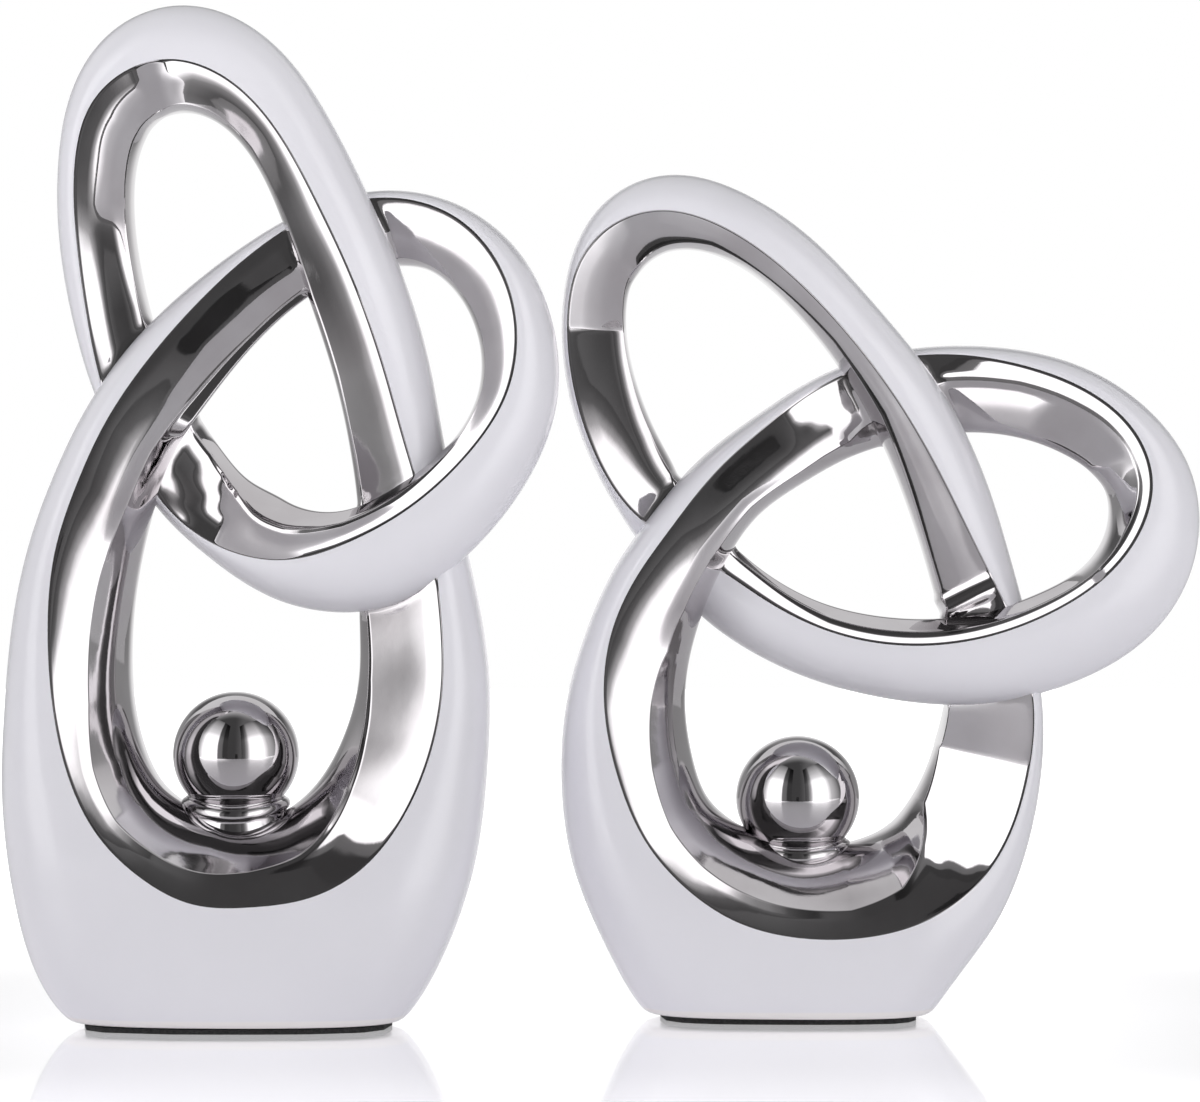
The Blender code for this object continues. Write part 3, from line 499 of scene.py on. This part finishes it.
class Strand:
    """The strand of one sculpture: its rail and tables, and its place in the frame."""

    def __init__(self, name, rail, facets, wedges, rolls):
        self.name = name
        self.facets = facets
        self.wedges = wedges
        self.rolls = rolls
        values = np.array(rail, float)
        steps = np.roll(values[:, :2], -1, axis=0) - values[:, :2]
        lengths = np.hypot(steps[:, 0], steps[:, 1])
        self.knots = np.concatenate([[0.0], np.cumsum(lengths)[:-1]])
        self.length = lengths.sum()
        self.curve = closed_curve(self.knots, self.length, values)
        low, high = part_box(name + "_ball")
        middle = (low + high) / 2 / METRES
        self.axis = np.array([middle.x, middle.y])
        self.ball_height = middle.z
        self.foot_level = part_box(name + "_base")[0].z / METRES

    def frames(self, distances):
        """Rows of the rail, and the way outwards, at distances along it."""
        after = self.curve(distances + TANGENT_STEP)
        travel = (after - self.curve(distances - TANGENT_STEP))[:, :2]
        travel /= np.hypot(travel[:, 0], travel[:, 1])[:, None]
        return self.curve(distances), np.stack([-travel[:, 1], travel[:, 0]], axis=1)

    def distance_at(self, row):
        """Distance along the rail of a row, or of a place between rows."""
        return np.interp(row, range(len(self.knots)), self.knots)

    def table_at(self, table, pairs, distances):
        """Values of a table at distances along the rail, in a straight line between its rows."""
        places = self.distance_at([row[0] for row in table])
        places = np.concatenate([places - self.length, places, places + self.length])
        values = np.tile([table_values(row, pairs) for row in table], (3, 1))
        return np.stack([np.interp(distances, places, column) for column in values.T], axis=1)


def even(count):
    """Evenly spaced shares."""
    return np.linspace(0, 1, count)


def gathered(count):
    """Shares that lie closer together towards both ends."""
    return (1 - np.cos(math.pi * even(count))) / 2


def spread(shares, pairs):
    """Pairs of slopes at shares of the way from the first pair to the last."""
    places = even(len(pairs))
    return np.stack([np.interp(shares, places, pairs[:, k]) for k in (0, 1)], axis=1)


def summed(rises):
    """Running total of rises, from nothing."""
    return np.concatenate([[0.0], np.cumsum(rises)])


def stretch(line, start, end, shares):
    """Points at shares of a polyline, from a distance along it to a distance before its end."""
    reached = summed(np.hypot(*np.diff(line, axis=0).T))
    places = start + shares * (reached[-1] - end - start)
    return np.stack([np.interp(places, reached, line[:, k]) for k in (0, 1)], axis=1)


def rounded(before, corner, after):
    """Points of a rounding between two points, bent round the corner."""
    share = even(CORNER_POINTS + 2)[1:-1, None]
    return (1 - share) ** 2 * before + 2 * share * (1 - share) * corner + share**2 * after


def bezier(points, count):
    """Points of a cubic curve through four control points."""
    share = even(count)[:, None]
    left = 1 - share
    a, b, c, d = points
    return left**3 * a + 3 * left**2 * share * b + 3 * left * share**2 * c + share**3 * d


def lip_turn(share):
    """How far a raised edge has turned up, at shares of its width."""
    turn = np.clip(share / LIP_TURN, 0, 1)
    return turn**2 * (3 - 2 * turn)


def half_section(row, facet_width, lip_share, slopes):
    """(outwards, forwards) points from the outermost point of the glaze to the innermost plating."""
    _, _, _, outer, _, inner, fullness = row
    fullness = max(fullness, 0)
    outer = max(outer, LEAST_WIDTH)
    crease = max(facet_width, LEAST_WIDTH)
    inner = max(inner, crease + LEAST_WIDTH)
    half_depth = (STRAND_DEPTH + (BASE_DEPTH - STRAND_DEPTH) * fullness) / 2
    squareness = STRAND_SQUARENESS + (BASE_SQUARENESS - STRAND_SQUARENESS) * fullness

    turn = np.linspace(math.pi / 2, 0, DENSE)
    power = 2 / squareness
    glaze = np.stack([outer * np.sin(turn) ** power, half_depth * np.cos(turn) ** power], axis=1)

    share = even(DENSE)
    lean = np.clip(np.interp(share, even(len(slopes)), slopes), 0, STEEPEST_FACET)
    fall = summed((lean[1:] + lean[:-1]) / 2) / (DENSE - 1)
    facet = np.stack([-crease * share, half_depth - crease * fall], axis=1)

    share = even(LIP_POINTS + 1)
    lip = min(LIP_WIDTH, (inner - crease) / 3) * share
    lip_lean = lean[-1] + lip_share * (LIP_SLOPE - lean[-1]) * lip_turn(share)
    lip_fall = summed(np.diff(lip) * (lip_lean[1:] + lip_lean[:-1]) / 2)
    rim = np.stack([-crease - lip, facet[-1, 1] - lip_fall], axis=1)

    width = inner + rim[-1, 0]
    corners = [rim[-1] * (1, y) - (width * x, 0) for x, y in WEDGE_BEND]
    wedge = bezier(corners, DENSE)

    ridge_rounding = min(RIDGE_ROUNDING, MOST_ROUNDING * outer)
    crease_rounding = min(CREASE_ROUNDING * (1 + lip_share), MOST_ROUNDING * width)
    glaze = stretch(glaze, 0, ridge_rounding, even(GLAZE_POINTS))
    facet = stretch(facet, ridge_rounding, 0, gathered(FACET_POINTS))
    wedge = stretch(wedge, crease_rounding, 0, even(WEDGE_POINTS))
    ridge = rounded(glaze[-1], np.array([0, half_depth]), facet[0])
    turn_in = rounded(rim[-2], rim[-1], wedge[0])
    return np.concatenate([glaze, ridge, facet, rim[1:-1], turn_in, wedge])


def strand_grid(strand, distances, facets):
    """Points of the whole closed strand, as an array of sections of the same number of points."""
    rows, outward = strand.frames(distances)
    grid = np.empty((len(distances), RING, 3))
    for i, row in enumerate(rows):
        slopes = -facets[i, 2:].reshape(-1, 2) @ outward[i]
        front = half_section(row, facets[i, 0], facets[i, 1], slopes)
        ring = np.concatenate([front, front[-2:0:-1] * (1, -1)])
        grid[i, :, 0] = strand.axis[0] + row[0] + ring[:, 0] * outward[i, 0]
        grid[i, :, 1] = strand.axis[1] + row[2] * CROSSING_SHIFT - ring[:, 1]
        grid[i, :, 2] = strand.foot_level + row[1] + ring[:, 0] * outward[i, 1]
    return grid


def grid_normals(grid):
    """Outward normals of the closed grid."""
    ahead = np.roll(grid, -1, axis=0) - np.roll(grid, 1, axis=0)
    around = np.roll(grid, -1, axis=1) - np.roll(grid, 1, axis=1)
    normals = np.cross(around, ahead)
    normals /= np.maximum(np.linalg.norm(normals, axis=2, keepdims=True), 1e-12)
    return normals


def lean_section(section, normals, raised, start, slopes, weights, waves):
    """Turns some normals of a section to slopes of a table, on the front and, mirrored, the back."""
    for k, (across, up) in enumerate(slopes):
        for column, side in ((start + k, -1), (RING - start - k, 1)):
            wave = noise.noise_vector(Vector(section[column]) / LEAN_WAVE_LENGTH) * waves[k]
            wanted = np.array([across + wave.x, side, up + wave.z])
            wanted /= np.linalg.norm(wanted)
            weight = weights[k] * max(0, 1 - raised[column] / RAISED_ENOUGH)
            mixed = normals[column] * (1 - weight) + wanted * weight
            normals[column] = mixed / np.linalg.norm(mixed)


def lean_facets(grid, normals, facets, raised):
    """Gives the facets the slopes of the table, a thin dark line at the ridge, and slow waves."""
    share = np.concatenate([gathered(FACET_POINTS), np.ones(LIP_POINTS - 1)])
    turned_up = lip_turn(even(LIP_POINTS + 1))[1:-1]
    for i, section in enumerate(grid):
        slopes = spread(share, facets[i, 2:].reshape(-1, 2))
        facet = section[FACET_START : FACET_END + LIP_POINTS - 1]
        from_ridge = np.linalg.norm(facet - section[RIDGE_INDEX], axis=1)
        line = np.clip(1 - from_ridge / RIDGE_LINE, 0, 1)[:, None]
        slopes += line * (np.array(RIDGE_SLOPE) - slopes)
        level, steep = FACET_WAVES
        waves = LEAN_WAVE * (level + steep * np.abs(slopes).sum(axis=1) ** 2)
        weights = np.ones(len(share))
        weights[FACET_POINTS:] -= facets[i, 1] * turned_up
        lean_section(section, normals[i], raised[i], FACET_START, slopes, weights, waves)


def lean_wedges(grid, normals, wedges, raised):
    """Gives the wedges beside the facets the slopes of their own table."""
    share = even(WEDGE_POINTS)
    comes, goes = WEDGE_FADE
    fade = np.clip(np.minimum(share * comes, (1 - share) * goes), 0, 1)
    waves = np.full(WEDGE_POINTS, LEAN_WAVE)
    for i, row in enumerate(wedges):
        if row[0] > 0:
            slopes = spread(share, row[1:].reshape(-1, 2))
            lean_section(grid[i], normals[i], raised[i], WEDGE_START, slopes, row[0] * fade, waves)


def meeting(start, end, other_start, other_end):
    """How far along each of two segments they cross, as shares of their lengths, or None."""
    one = end - start
    other = other_end - other_start
    offset = other_start - start
    turn = one[0] * other[1] - one[1] * other[0]
    if turn == 0:
        return None
    share = (offset[0] * other[1] - offset[1] * other[0]) / turn
    other_share = (offset[0] * one[1] - offset[1] * one[0]) / turn
    if 0 <= share < 1 and 0 <= other_share < 1:
        return share, other_share
    return None


def find_crossings(strand):
    """The row that passes in front and the row that passes behind, at each crossing."""
    rows, outward = strand.frames(strand.knots)
    middle = rows[:, :2] + outward * (rows[:, 3:4] - rows[:, 5:6]) / 2
    count = len(middle)
    found = []
    for i in range(count):
        for j in range(i + 2, count):
            following = (j + 1) % count
            shares = meeting(middle[i], middle[i + 1], middle[j], middle[following])
            if shares and following != i:
                passes = [(i + round(shares[0])) % count, (j + round(shares[1])) % count]
                found.append(sorted(passes, key=lambda row: rows[row, 2]))
    return dict(zip(CROSSINGS, found))


def add_waves(grid, normals):
    """The slow waves of a cast and plated surface, which fade out towards the ridges."""
    weight = np.clip((FROM_RIDGE - 1) / FACET_POINTS, 0, 1)
    for section, normal in zip(grid, normals):
        for k in np.flatnonzero(weight > 0):
            height = WAVE_HEIGHT * weight[k] * noise.noise(Vector(section[k]) / WAVE_LENGTH)
            section[k] += normal[k] * height


def tube_faces(sections, width):
    """Faces between sections of a tube, which have this many points each."""
    faces = []
    for low in range(0, (sections - 1) * width, width):
        for k in range(width):
            after = (k + 1) % width
            faces.append((low + k, low + after, low + width + after, low + width + k))
    return faces


def closed_faces(sections, width):
    """Faces of a tube and of its two ends."""
    first = tuple(range(width - 1, -1, -1))
    last = tuple(range((sections - 1) * width, sections * width))
    return [*tube_faces(sections, width), first, last]


def softened(values):
    """Values of the closed grid, each mixed with its neighbours both ways."""
    for _ in range(FILLET_SOFTENINGS):
        for axis in (0, 1):
            beside = np.roll(values, 1, axis=axis) + np.roll(values, -1, axis=axis)
            values = (2 * values + beside) / 4
    return values


def add_fillets(grid, normals, front, behind, raised):
    """Flares the plating of the strand behind where it meets the strand in front, as slip does."""
    reach = round(FILLET_REACH / STATION_SPACING)
    around = np.arange(-reach, reach + 1)
    points = grid[(front + around) % len(grid)].reshape(-1, 3)
    faces = tube_faces(len(around), RING)
    tree = BVHTree.FromPolygons([Vector(point) for point in points], faces)
    rises = np.zeros(grid.shape[:2])
    for i in (behind + around) % len(grid):
        for k in range(RIDGE_INDEX + 1, RING - RIDGE_INDEX):
            point = Vector(grid[i, k])
            place, normal, _, distance = tree.find_nearest(point, FILLET * FILLET_SEARCH)
            if place is None:
                continue
            gap = 0 if (point - place).dot(normal) < 0 else min(distance, FILLET)
            rises[i, k] = FILLET * (1 - gap / FILLET) ** 2 / 2
    rises = softened(rises) * np.clip(FROM_RIDGE / (2 * CORNER_POINTS), 0, 1)
    grid += normals * rises[:, :, None]
    np.maximum(raised, rises, out=raised)


def add_rolls(strand, distances, grid, normals):
    """Rolls and grooves of slip round the plating."""
    weights = np.clip(FROM_RIDGE / CORNER_POINTS, 0, 1)
    for row, height in strand.rolls:
        share = np.exp(-(((distances - strand.distance_at(row)) / ROLL_WIDTH) ** 2))
        grid += normals * (height * share[:, None] * weights)[:, :, None]


def settle_foot(grid, level):
    """Presses what lies below the foot up to its level, with a rounded edge."""
    above = grid[:, :, 2] - level
    grid[:, :, 2] = level + (above + np.sqrt(above**2 + 4 * FOOT_SOFTNESS**2)) / 2


def add_mesh(name, points, polygons, material, normals=None):
    """A piece of the object from points in millimetres."""
    data = bpy.data.meshes.new(name)
    data.from_pydata((np.asarray(points) * METRES).tolist(), [], polygons)
    data.validate()
    data.shade_smooth()
    if normals is not None:
        data.normals_split_custom_set_from_vertices(normals.tolist())
    data.materials.append(material)
    made = bpy.data.objects.new(name, data)
    bpy.context.scene.collection.objects.link(made)
    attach(made, "root")
    return made


def build_strand(strand, finishes):
    """The glazed and the plated piece of each casting."""
    count = round(strand.length / STATION_SPACING)
    distances = np.arange(count) * strand.length / count
    facets = strand.table_at(strand.facets, FACET_SLOPES, distances)
    wedges = strand.table_at(strand.wedges, WEDGE_SLOPES, distances)
    grid = strand_grid(strand, distances, facets)
    add_waves(grid, grid_normals(grid))
    normals = grid_normals(grid)
    raised = np.zeros(grid.shape[:2])
    stations = {}
    for crossing, rows in find_crossings(strand).items():
        front, behind = (int(np.argmin(np.abs(distances - strand.knots[row]))) for row in rows)
        add_fillets(grid, normals, front, behind, raised)
        stations[crossing] = behind
    add_rolls(strand, distances, grid, normals)
    settle_foot(grid, strand.foot_level)
    normals = grid_normals(grid)
    lean_facets(grid, normals, facets, raised)
    lean_wedges(grid, normals, wedges, raised)

    glazed = np.arange(-RIDGE_INDEX, RIDGE_INDEX + 1) % RING
    plated = np.arange(RIDGE_INDEX, RING - RIDGE_INDEX + 1)
    sides = (("glaze", "white_glaze", glazed), ("plating", "silver_plating", plated))
    for casting, (start, end) in CASTINGS.items():
        first, last = stations[start], stations[end]
        if last <= first:
            last += count
        part = np.arange(first, last + 1) % count
        name = f"{strand.name}_{casting}"
        for side, finish, columns in sides:
            chosen = np.ix_(part, columns)
            points = grid[chosen].reshape(-1, 3)
            leans = normals[chosen].reshape(-1, 3)
            faces = closed_faces(len(part), len(columns))
            piece = add_mesh(f"{name}_{side}", points, faces, finishes[side], leans)
            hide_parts(name)


def add_turned(name, profile, centre, sag, material):
    """A plated solid of revolution about an upright axis, bent down at its front and back."""
    points = []
    for radius, height in profile:
        for step in range(BALL_STEPS):
            angle = 2 * math.pi * step / BALL_STEPS
            x, y = radius * math.cos(angle), radius * math.sin(angle)
            points.append((centre[0] + x, centre[1] + y, centre[2] + height - sag * y**2))
    faces = [face[::-1] for face in closed_faces(len(profile), BALL_STEPS)]
    return add_mesh(name, points, faces, material)


def ball_profile(radius):
    """(radius, height) points of the ball, from its top to its bottom."""
    turns = np.linspace(POLE, math.pi - POLE, BALL_RINGS)
    return [(radius * math.sin(turn), radius * math.cos(turn)) for turn in turns]


def seat_profile(lip, low):
    """Outer side of the ring under the ball, from the ball's centre: a bead and a flared foot."""
    land = lip - SEAT_LAND
    top = -BALL_DIAMETER / 2 * math.cos(SEAT_CONTACT)
    profile = [(SEAT_AXIS, top - SEAT_BURIED)]
    profile += [(land + out, top + up) for out, up in SEAT_HOLLOW]
    for step in range(BEAD_STEPS + 1):
        angle = math.radians(90 - SEAT_BEAD_TURN * step / BEAD_STEPS)
        out = SEAT_BEAD_RADIUS * (math.cos(angle) - 1)
        up = SEAT_BEAD_RADIUS * (math.sin(angle) - 1)
        profile.append((lip + out, top + up))
    waist, flare_top = profile[-1]
    width = lip + SEAT_FLARE - waist
    height = flare_top - low
    for step in range(1, FLARE_STEPS + 1):
        angle = math.radians(90 * step / FLARE_STEPS)
        profile.append((waist + width * (1 - math.cos(angle)), flare_top - height * math.sin(angle)))
    profile.append((SEAT_AXIS, low - SEAT_BURIED))
    return profile


def build_ball(strand, finishes):
    """The ball, and the ring of slip and plating that beds it."""
    name = strand.name + "_ball"
    radius = BALL_DIAMETER / 2
    centre = (*strand.axis, strand.ball_height)
    ball = add_turned(name + "_shell", ball_profile(radius), centre, 0, finishes["ball"])
    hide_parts(name)

    lip = radius * math.sin(SEAT_CONTACT) + SEAT_LAND
    sag = SEAT_SAG / lip**2
    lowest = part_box(name + "_seat")[0].z / METRES
    skirt_top = lowest + SEAT_SKIRT + sag * (lip + SEAT_FLARE) ** 2
    profile = seat_profile(lip, skirt_top - strand.ball_height)
    ring = add_turned(name + "_ring", profile, centre, sag, finishes["plating"])
    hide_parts(name + "_seat")


class Shading:
    """The nodes of a material or a world, with short ways to add more."""

    def __init__(self, owner):
        owner.use_nodes = True
        self.nodes = owner.node_tree.nodes
        self.links = owner.node_tree.links

    def feed(self, node, inputs):
        """Links an input of a node to a socket, or sets it to a value."""
        for name, value in inputs.items():
            if isinstance(value, bpy.types.NodeSocket):
                self.links.new(value, node.inputs[name])
            else:
                node.inputs[name].default_value = value

    def add(self, kind, inputs):
        """A new node."""
        made = self.nodes.new("ShaderNode" + kind)
        self.feed(made, inputs)
        return made

    def rays(self, kind):
        """1 for rays of a kind, and 0 for others."""
        return self.add("LightPath", {}).outputs[kind]

    def mixed(self, share, one, other):
        """A number between two."""
        return self.add("Mix", {"Factor": share, "A": one, "B": other}).outputs["Result"]

    def place(self, coordinates):
        """The X, Y and Z of a place."""
        source = self.add("TexCoord", {}).outputs[coordinates]
        return self.add("SeparateXYZ", {"Vector": source}).outputs

    def speckle(self, scale, detail):
        """A noise over the object's own coordinates, which are in metres."""
        source = self.add("TexCoord", {}).outputs["Object"]
        inputs = {"Vector": source, "Scale": scale, "Detail": detail}
        return self.add("TexNoise", inputs).outputs["Fac"]

    def combined(self, operation, *sources):
        """A sum, product or the like."""
        made = self.add("Math", dict(enumerate(sources)))
        made.operation = operation
        return made.outputs["Value"]

    def eased(self, source, limits, values):
        """A value that eases from one to another as its source passes between limits."""
        inputs = {
            "Value": source,
            "From Min": limits[0],
            "From Max": limits[1],
            "To Min": values[0],
            "To Max": values[1],
        }
        made = self.add("MapRange", inputs)
        made.interpolation_type = "SMOOTHSTEP"
        return made.outputs["Result"]

    def ramp(self, source, stops):
        """A colour ramp from (position, colour) stops, where a plain number is a grey."""
        made = self.add("ValToRGB", {"Fac": source})
        elements = made.color_ramp.elements
        elements[0].position = stops[0][0]
        elements[1].position = stops[-1][0]
        for position, _ in stops[1:-1]:
            elements.new(position)
        for element, (_, colour) in zip(elements, stops):
            element.color = (*(colour if isinstance(colour, tuple) else (colour,) * 3), 1)
        return made.outputs["Color"]

    def bumps(self, *waves):
        """Bumps one on another, each from the scale and detail of a noise and a height in metres."""
        inputs = {}
        for scale, detail, height in waves:
            inputs |= {"Strength": 1, "Distance": height, "Height": self.speckle(scale, detail)}
            inputs["Normal"] = self.add("Bump", inputs).outputs["Normal"]
        return inputs["Normal"]


def new_look(name):
    """A new material, its nodes, and its shader."""
    material = bpy.data.materials.new(name)
    look = Shading(material)
    return material, look, look.nodes["Principled BSDF"]


def glaze_material():
    """White glaze, uneven in tint, gloss and height, and wiped off just above the foot."""
    material, look, shader = new_look("white_glaze_look")
    thin, thick = GLAZE_TINT
    tint = look.ramp(look.speckle(16, 3), [(0.3, thin), (0.7, thick)])
    wiped = look.eased(look.place("Object")["Z"], BARE_FOOT, (1, 0))
    colour = look.add("MixRGB", {"Fac": wiped, "Color1": tint, "Color2": (*BARE_BODY, 1)})
    inputs = {
        "Base Color": colour.outputs["Color"],
        "Roughness": look.ramp(look.speckle(60, 3), [(0.3, 0.12), (0.7, 0.2)]),
        "IOR": 1.52,
        "Normal": look.bumps((70, 2, 0.00012), (900, 2, 0.000004)),
    }
    look.feed(shader, inputs)
    return material


def plating_material(name, sharp, dull, wave):
    """Silver plating, uneven in tint and height, and in roughness from sharp to dull."""
    material, look, shader = new_look(name)
    dark, light = SILVER_TINT
    inputs = {
        "Metallic": 1,
        "Base Color": look.ramp(look.speckle(30, 4), [(0.3, dark), (0.7, light)]),
        "Roughness": look.ramp(look.speckle(45, 4), [(0.3, sharp), (0.75, dull)]),
        "Normal": look.bumps((90, 2, wave), (1400, 2, 0.000002)),
    }
    look.feed(shader, inputs)
    return material


def pad_material():
    """Black rubber, dull and grainy."""
    material, look, shader = new_look("black_pad_look")
    inputs = {
        "Base Color": look.ramp(look.speckle(1500, 4), [(0.3, 0.012), (0.7, 0.04)]),
        "Roughness": look.ramp(look.speckle(900, 2), [(0.3, 0.8), (0.7, 1)]),
        "Normal": look.bumps((2500, 3, 0.0002)),
    }
    look.feed(shader, inputs)
    return material


def glow_material(name, glow, across, upward):
    """Light that changes across a panel and up it, by (share, strength) stops."""
    material, look, shader = new_look(name)
    look.nodes.remove(shader)
    share = look.place("UV")
    columns, rows = look.ramp(share["X"], across), look.ramp(share["Y"], upward)
    profile = look.combined("MULTIPLY", columns, rows)
    strength = look.combined("MULTIPLY", profile, glow)
    light = look.add("Emission", {"Color": WHITE, "Strength": strength})
    look.feed(look.nodes["Material Output"], {"Surface": light.outputs["Emission"]})
    return material


def black_material():
    """The dull dark of a camera."""
    material, look, shader = new_look("black_card_look")
    look.feed(shader, {"Base Color": BLACK, "Roughness": 1})
    return material


def floor_material():
    """A pale glossy floor. What the camera sees of it is brightened to the white background. Seen in
    reflections, it glows beside the pair as a painted pool of the panels' light, and for all but the
    camera it glows a little as painted bounce light.
    """
    material, look, shader = new_look("floor_look")
    camera = look.rays("Is Camera Ray")
    here = look.place("Object")
    distance = look.add("VectorMath", {0: look.add("TexCoord", {}).outputs["Object"]})
    distance.operation = "LENGTH"
    lift = look.eased(distance.outputs["Value"], *FLOOR_LIFT)
    front = look.eased(here["Y"], *FLOOR_FRONT)
    seen = look.combined("MULTIPLY", camera, look.combined("ADD", lift, front))
    # Painted pool of the panels' light: a glow on the floor beside and before the pair, seen only in
    # reflections.
    beside = look.eased(look.combined("ABSOLUTE", here["X"]), *SPILL_BESIDE)
    spill = look.combined("MULTIPLY", beside, look.eased(here["Y"], *SPILL_BEFORE))
    mirrored = look.combined("MULTIPLY", look.rays("Is Glossy Ray"), spill)
    # Painted bounce light: a faint glow of the floor for all rays but the camera's.
    bounce = look.eased(camera, (0, 1), (FLOOR_BOUNCE, 0))
    inputs = {
        "Base Color": look.ramp(camera, [(0, FLOOR_COLOUR), (1, FLOOR_SEEN)]),
        "Metallic": look.eased(camera, (0, 1), (0, FLOOR_GLOSS)),
        "Roughness": FLOOR_ROUGHNESS,
        "Emission Color": WHITE,
        "Emission Strength": look.combined("ADD", look.combined("ADD", seen, mirrored), bounce),
    }
    look.feed(shader, inputs)
    return material


def build_world():
    """White where the camera looks, and a dim studio for what the plating mirrors."""
    world = bpy.data.worlds.new("studio")
    bpy.context.scene.world = world
    look = Shading(world)
    towards = look.place("Generated")
    near = look.eased(towards["X"], *ROOM_ASIDE)
    deep = look.eased(towards["Z"], *ROOM_ABOVE)
    mirrored = look.eased(towards["Y"], ROOM_DEEP, (near, deep))
    sides = look.eased(towards["X"], *ROOM_SIDES)
    light = look.combined("ADD", look.eased(towards["Z"], *ROOM_LIGHT), sides)
    room = look.mixed(look.rays("Is Glossy Ray"), light, mirrored)
    seen = look.mixed(look.rays("Is Camera Ray"), room, 1)
    look.feed(look.nodes["Background"], {"Color": WHITE, "Strength": seen})


def stage_plane(name, centre, size, material, across=(1, 0, 0), upward=(0, 0, 1)):
    """A card, panel or floor of the studio."""
    data = bpy.data.meshes.new(name)
    right = Vector(across) * size[0] / 2
    top = Vector(upward) * size[1] / 2
    corners = [(-1, -1), (1, -1), (1, 1), (-1, 1)]
    points = [Vector(centre) + right * a + top * b for a, b in corners]
    data.from_pydata(points, [], [(0, 1, 2, 3)])
    texture = data.uv_layers.new(name="share")
    for loop, (a, b) in zip(texture.data, corners):
        loop.uv = ((a + 1) / 2, (b + 1) / 2)
    data.materials.append(material)
    made = bpy.data.objects.new(name, data)
    bpy.context.scene.collection.objects.link(made)
    return made


def build_stage():
    """The floor, and the cards and panels that the camera doesn't see."""
    middle = (0, (FLOOR_FAR + FLOOR_EDGE) / 2, 0)
    size = (2 * FLOOR_FAR, FLOOR_FAR - FLOOR_EDGE)
    stage_plane("floor", middle, size, floor_material(), upward=(0, 1, 0))

    unseen = []
    for name, side, profile in (("left", -1, LEFT_PANEL), ("right", 1, RIGHT_PANEL)):
        turn = math.radians(PANEL_TURN) * side
        away = Vector((math.sin(turn), -math.cos(turn), 0))
        across = Vector((math.cos(turn), math.sin(turn), 0)) * side
        centre = away * PANEL_DISTANCE + Vector((0, 0, PANEL_HEIGHT / 2 + PANEL_BOTTOM))
        glow = glow_material(f"{name}_panel_glow", PANEL_GLOW, profile, PANEL_UPWARD)
        size = (PANEL_WIDTH, PANEL_HEIGHT)
        unseen.append(stage_plane(f"{name}_panel", centre, size, glow, across))
    glow = glow_material("backdrop_glow", 1, BACKDROP_GLOW, BACKDROP_GLOW)
    backdrop = stage_plane("backdrop", BACKDROP_PLACE, BACKDROP_SIZE, glow)
    backdrop.visible_diffuse = False
    lens = stage_plane("lens_card", LENS_PLACE, LENS_SIZE, black_material())
    for plane in (*unseen, backdrop, lens):
        plane.visible_camera = False


def build_camera():
    """A camera at the photograph's place, which looks level and straight at the pair."""
    data = bpy.data.cameras.new("camera")
    data.sensor_width = SENSOR_WIDTH
    data.lens = SENSOR_WIDTH * CAMERA_DISTANCE / (IMAGE_WIDTH * PIXEL)
    made = bpy.data.objects.new("camera", data)
    made.location = CAMERA_PLACE
    made.rotation_euler = (math.pi / 2, 0, 0)
    bpy.context.scene.collection.objects.link(made)
    bpy.context.scene.camera = made


def main():
    """Builds the whole scene round the CAD model."""
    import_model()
    noise.seed_set(LEAN_SEED)
    bpy.context.scene.view_settings.view_transform = "Standard"
    build_camera()
    build_world()
    build_stage()
    finishes = {
        "glaze": glaze_material(),
        "plating": plating_material("silver_plating_look", 0.04, 0.08, 0.00003),
        "ball": plating_material("ball_plating_look", 0.025, 0.05, 0.00002),
        "pad": pad_material(),
    }
    for name, *tables in (
        ("tall", TALL_RAIL, TALL_FACETS, TALL_WEDGES, TALL_ROLLS),
        ("short", SHORT_RAIL, SHORT_FACETS, SHORT_WEDGES, SHORT_ROLLS),
    ):
        strand = Strand(name, *tables)
        build_strand(strand, finishes)
        build_ball(strand, finishes)
        for place in bpy.data.objects[name + "_foot_pad"].material_slots:
            place.material = finishes["pad"]


main()
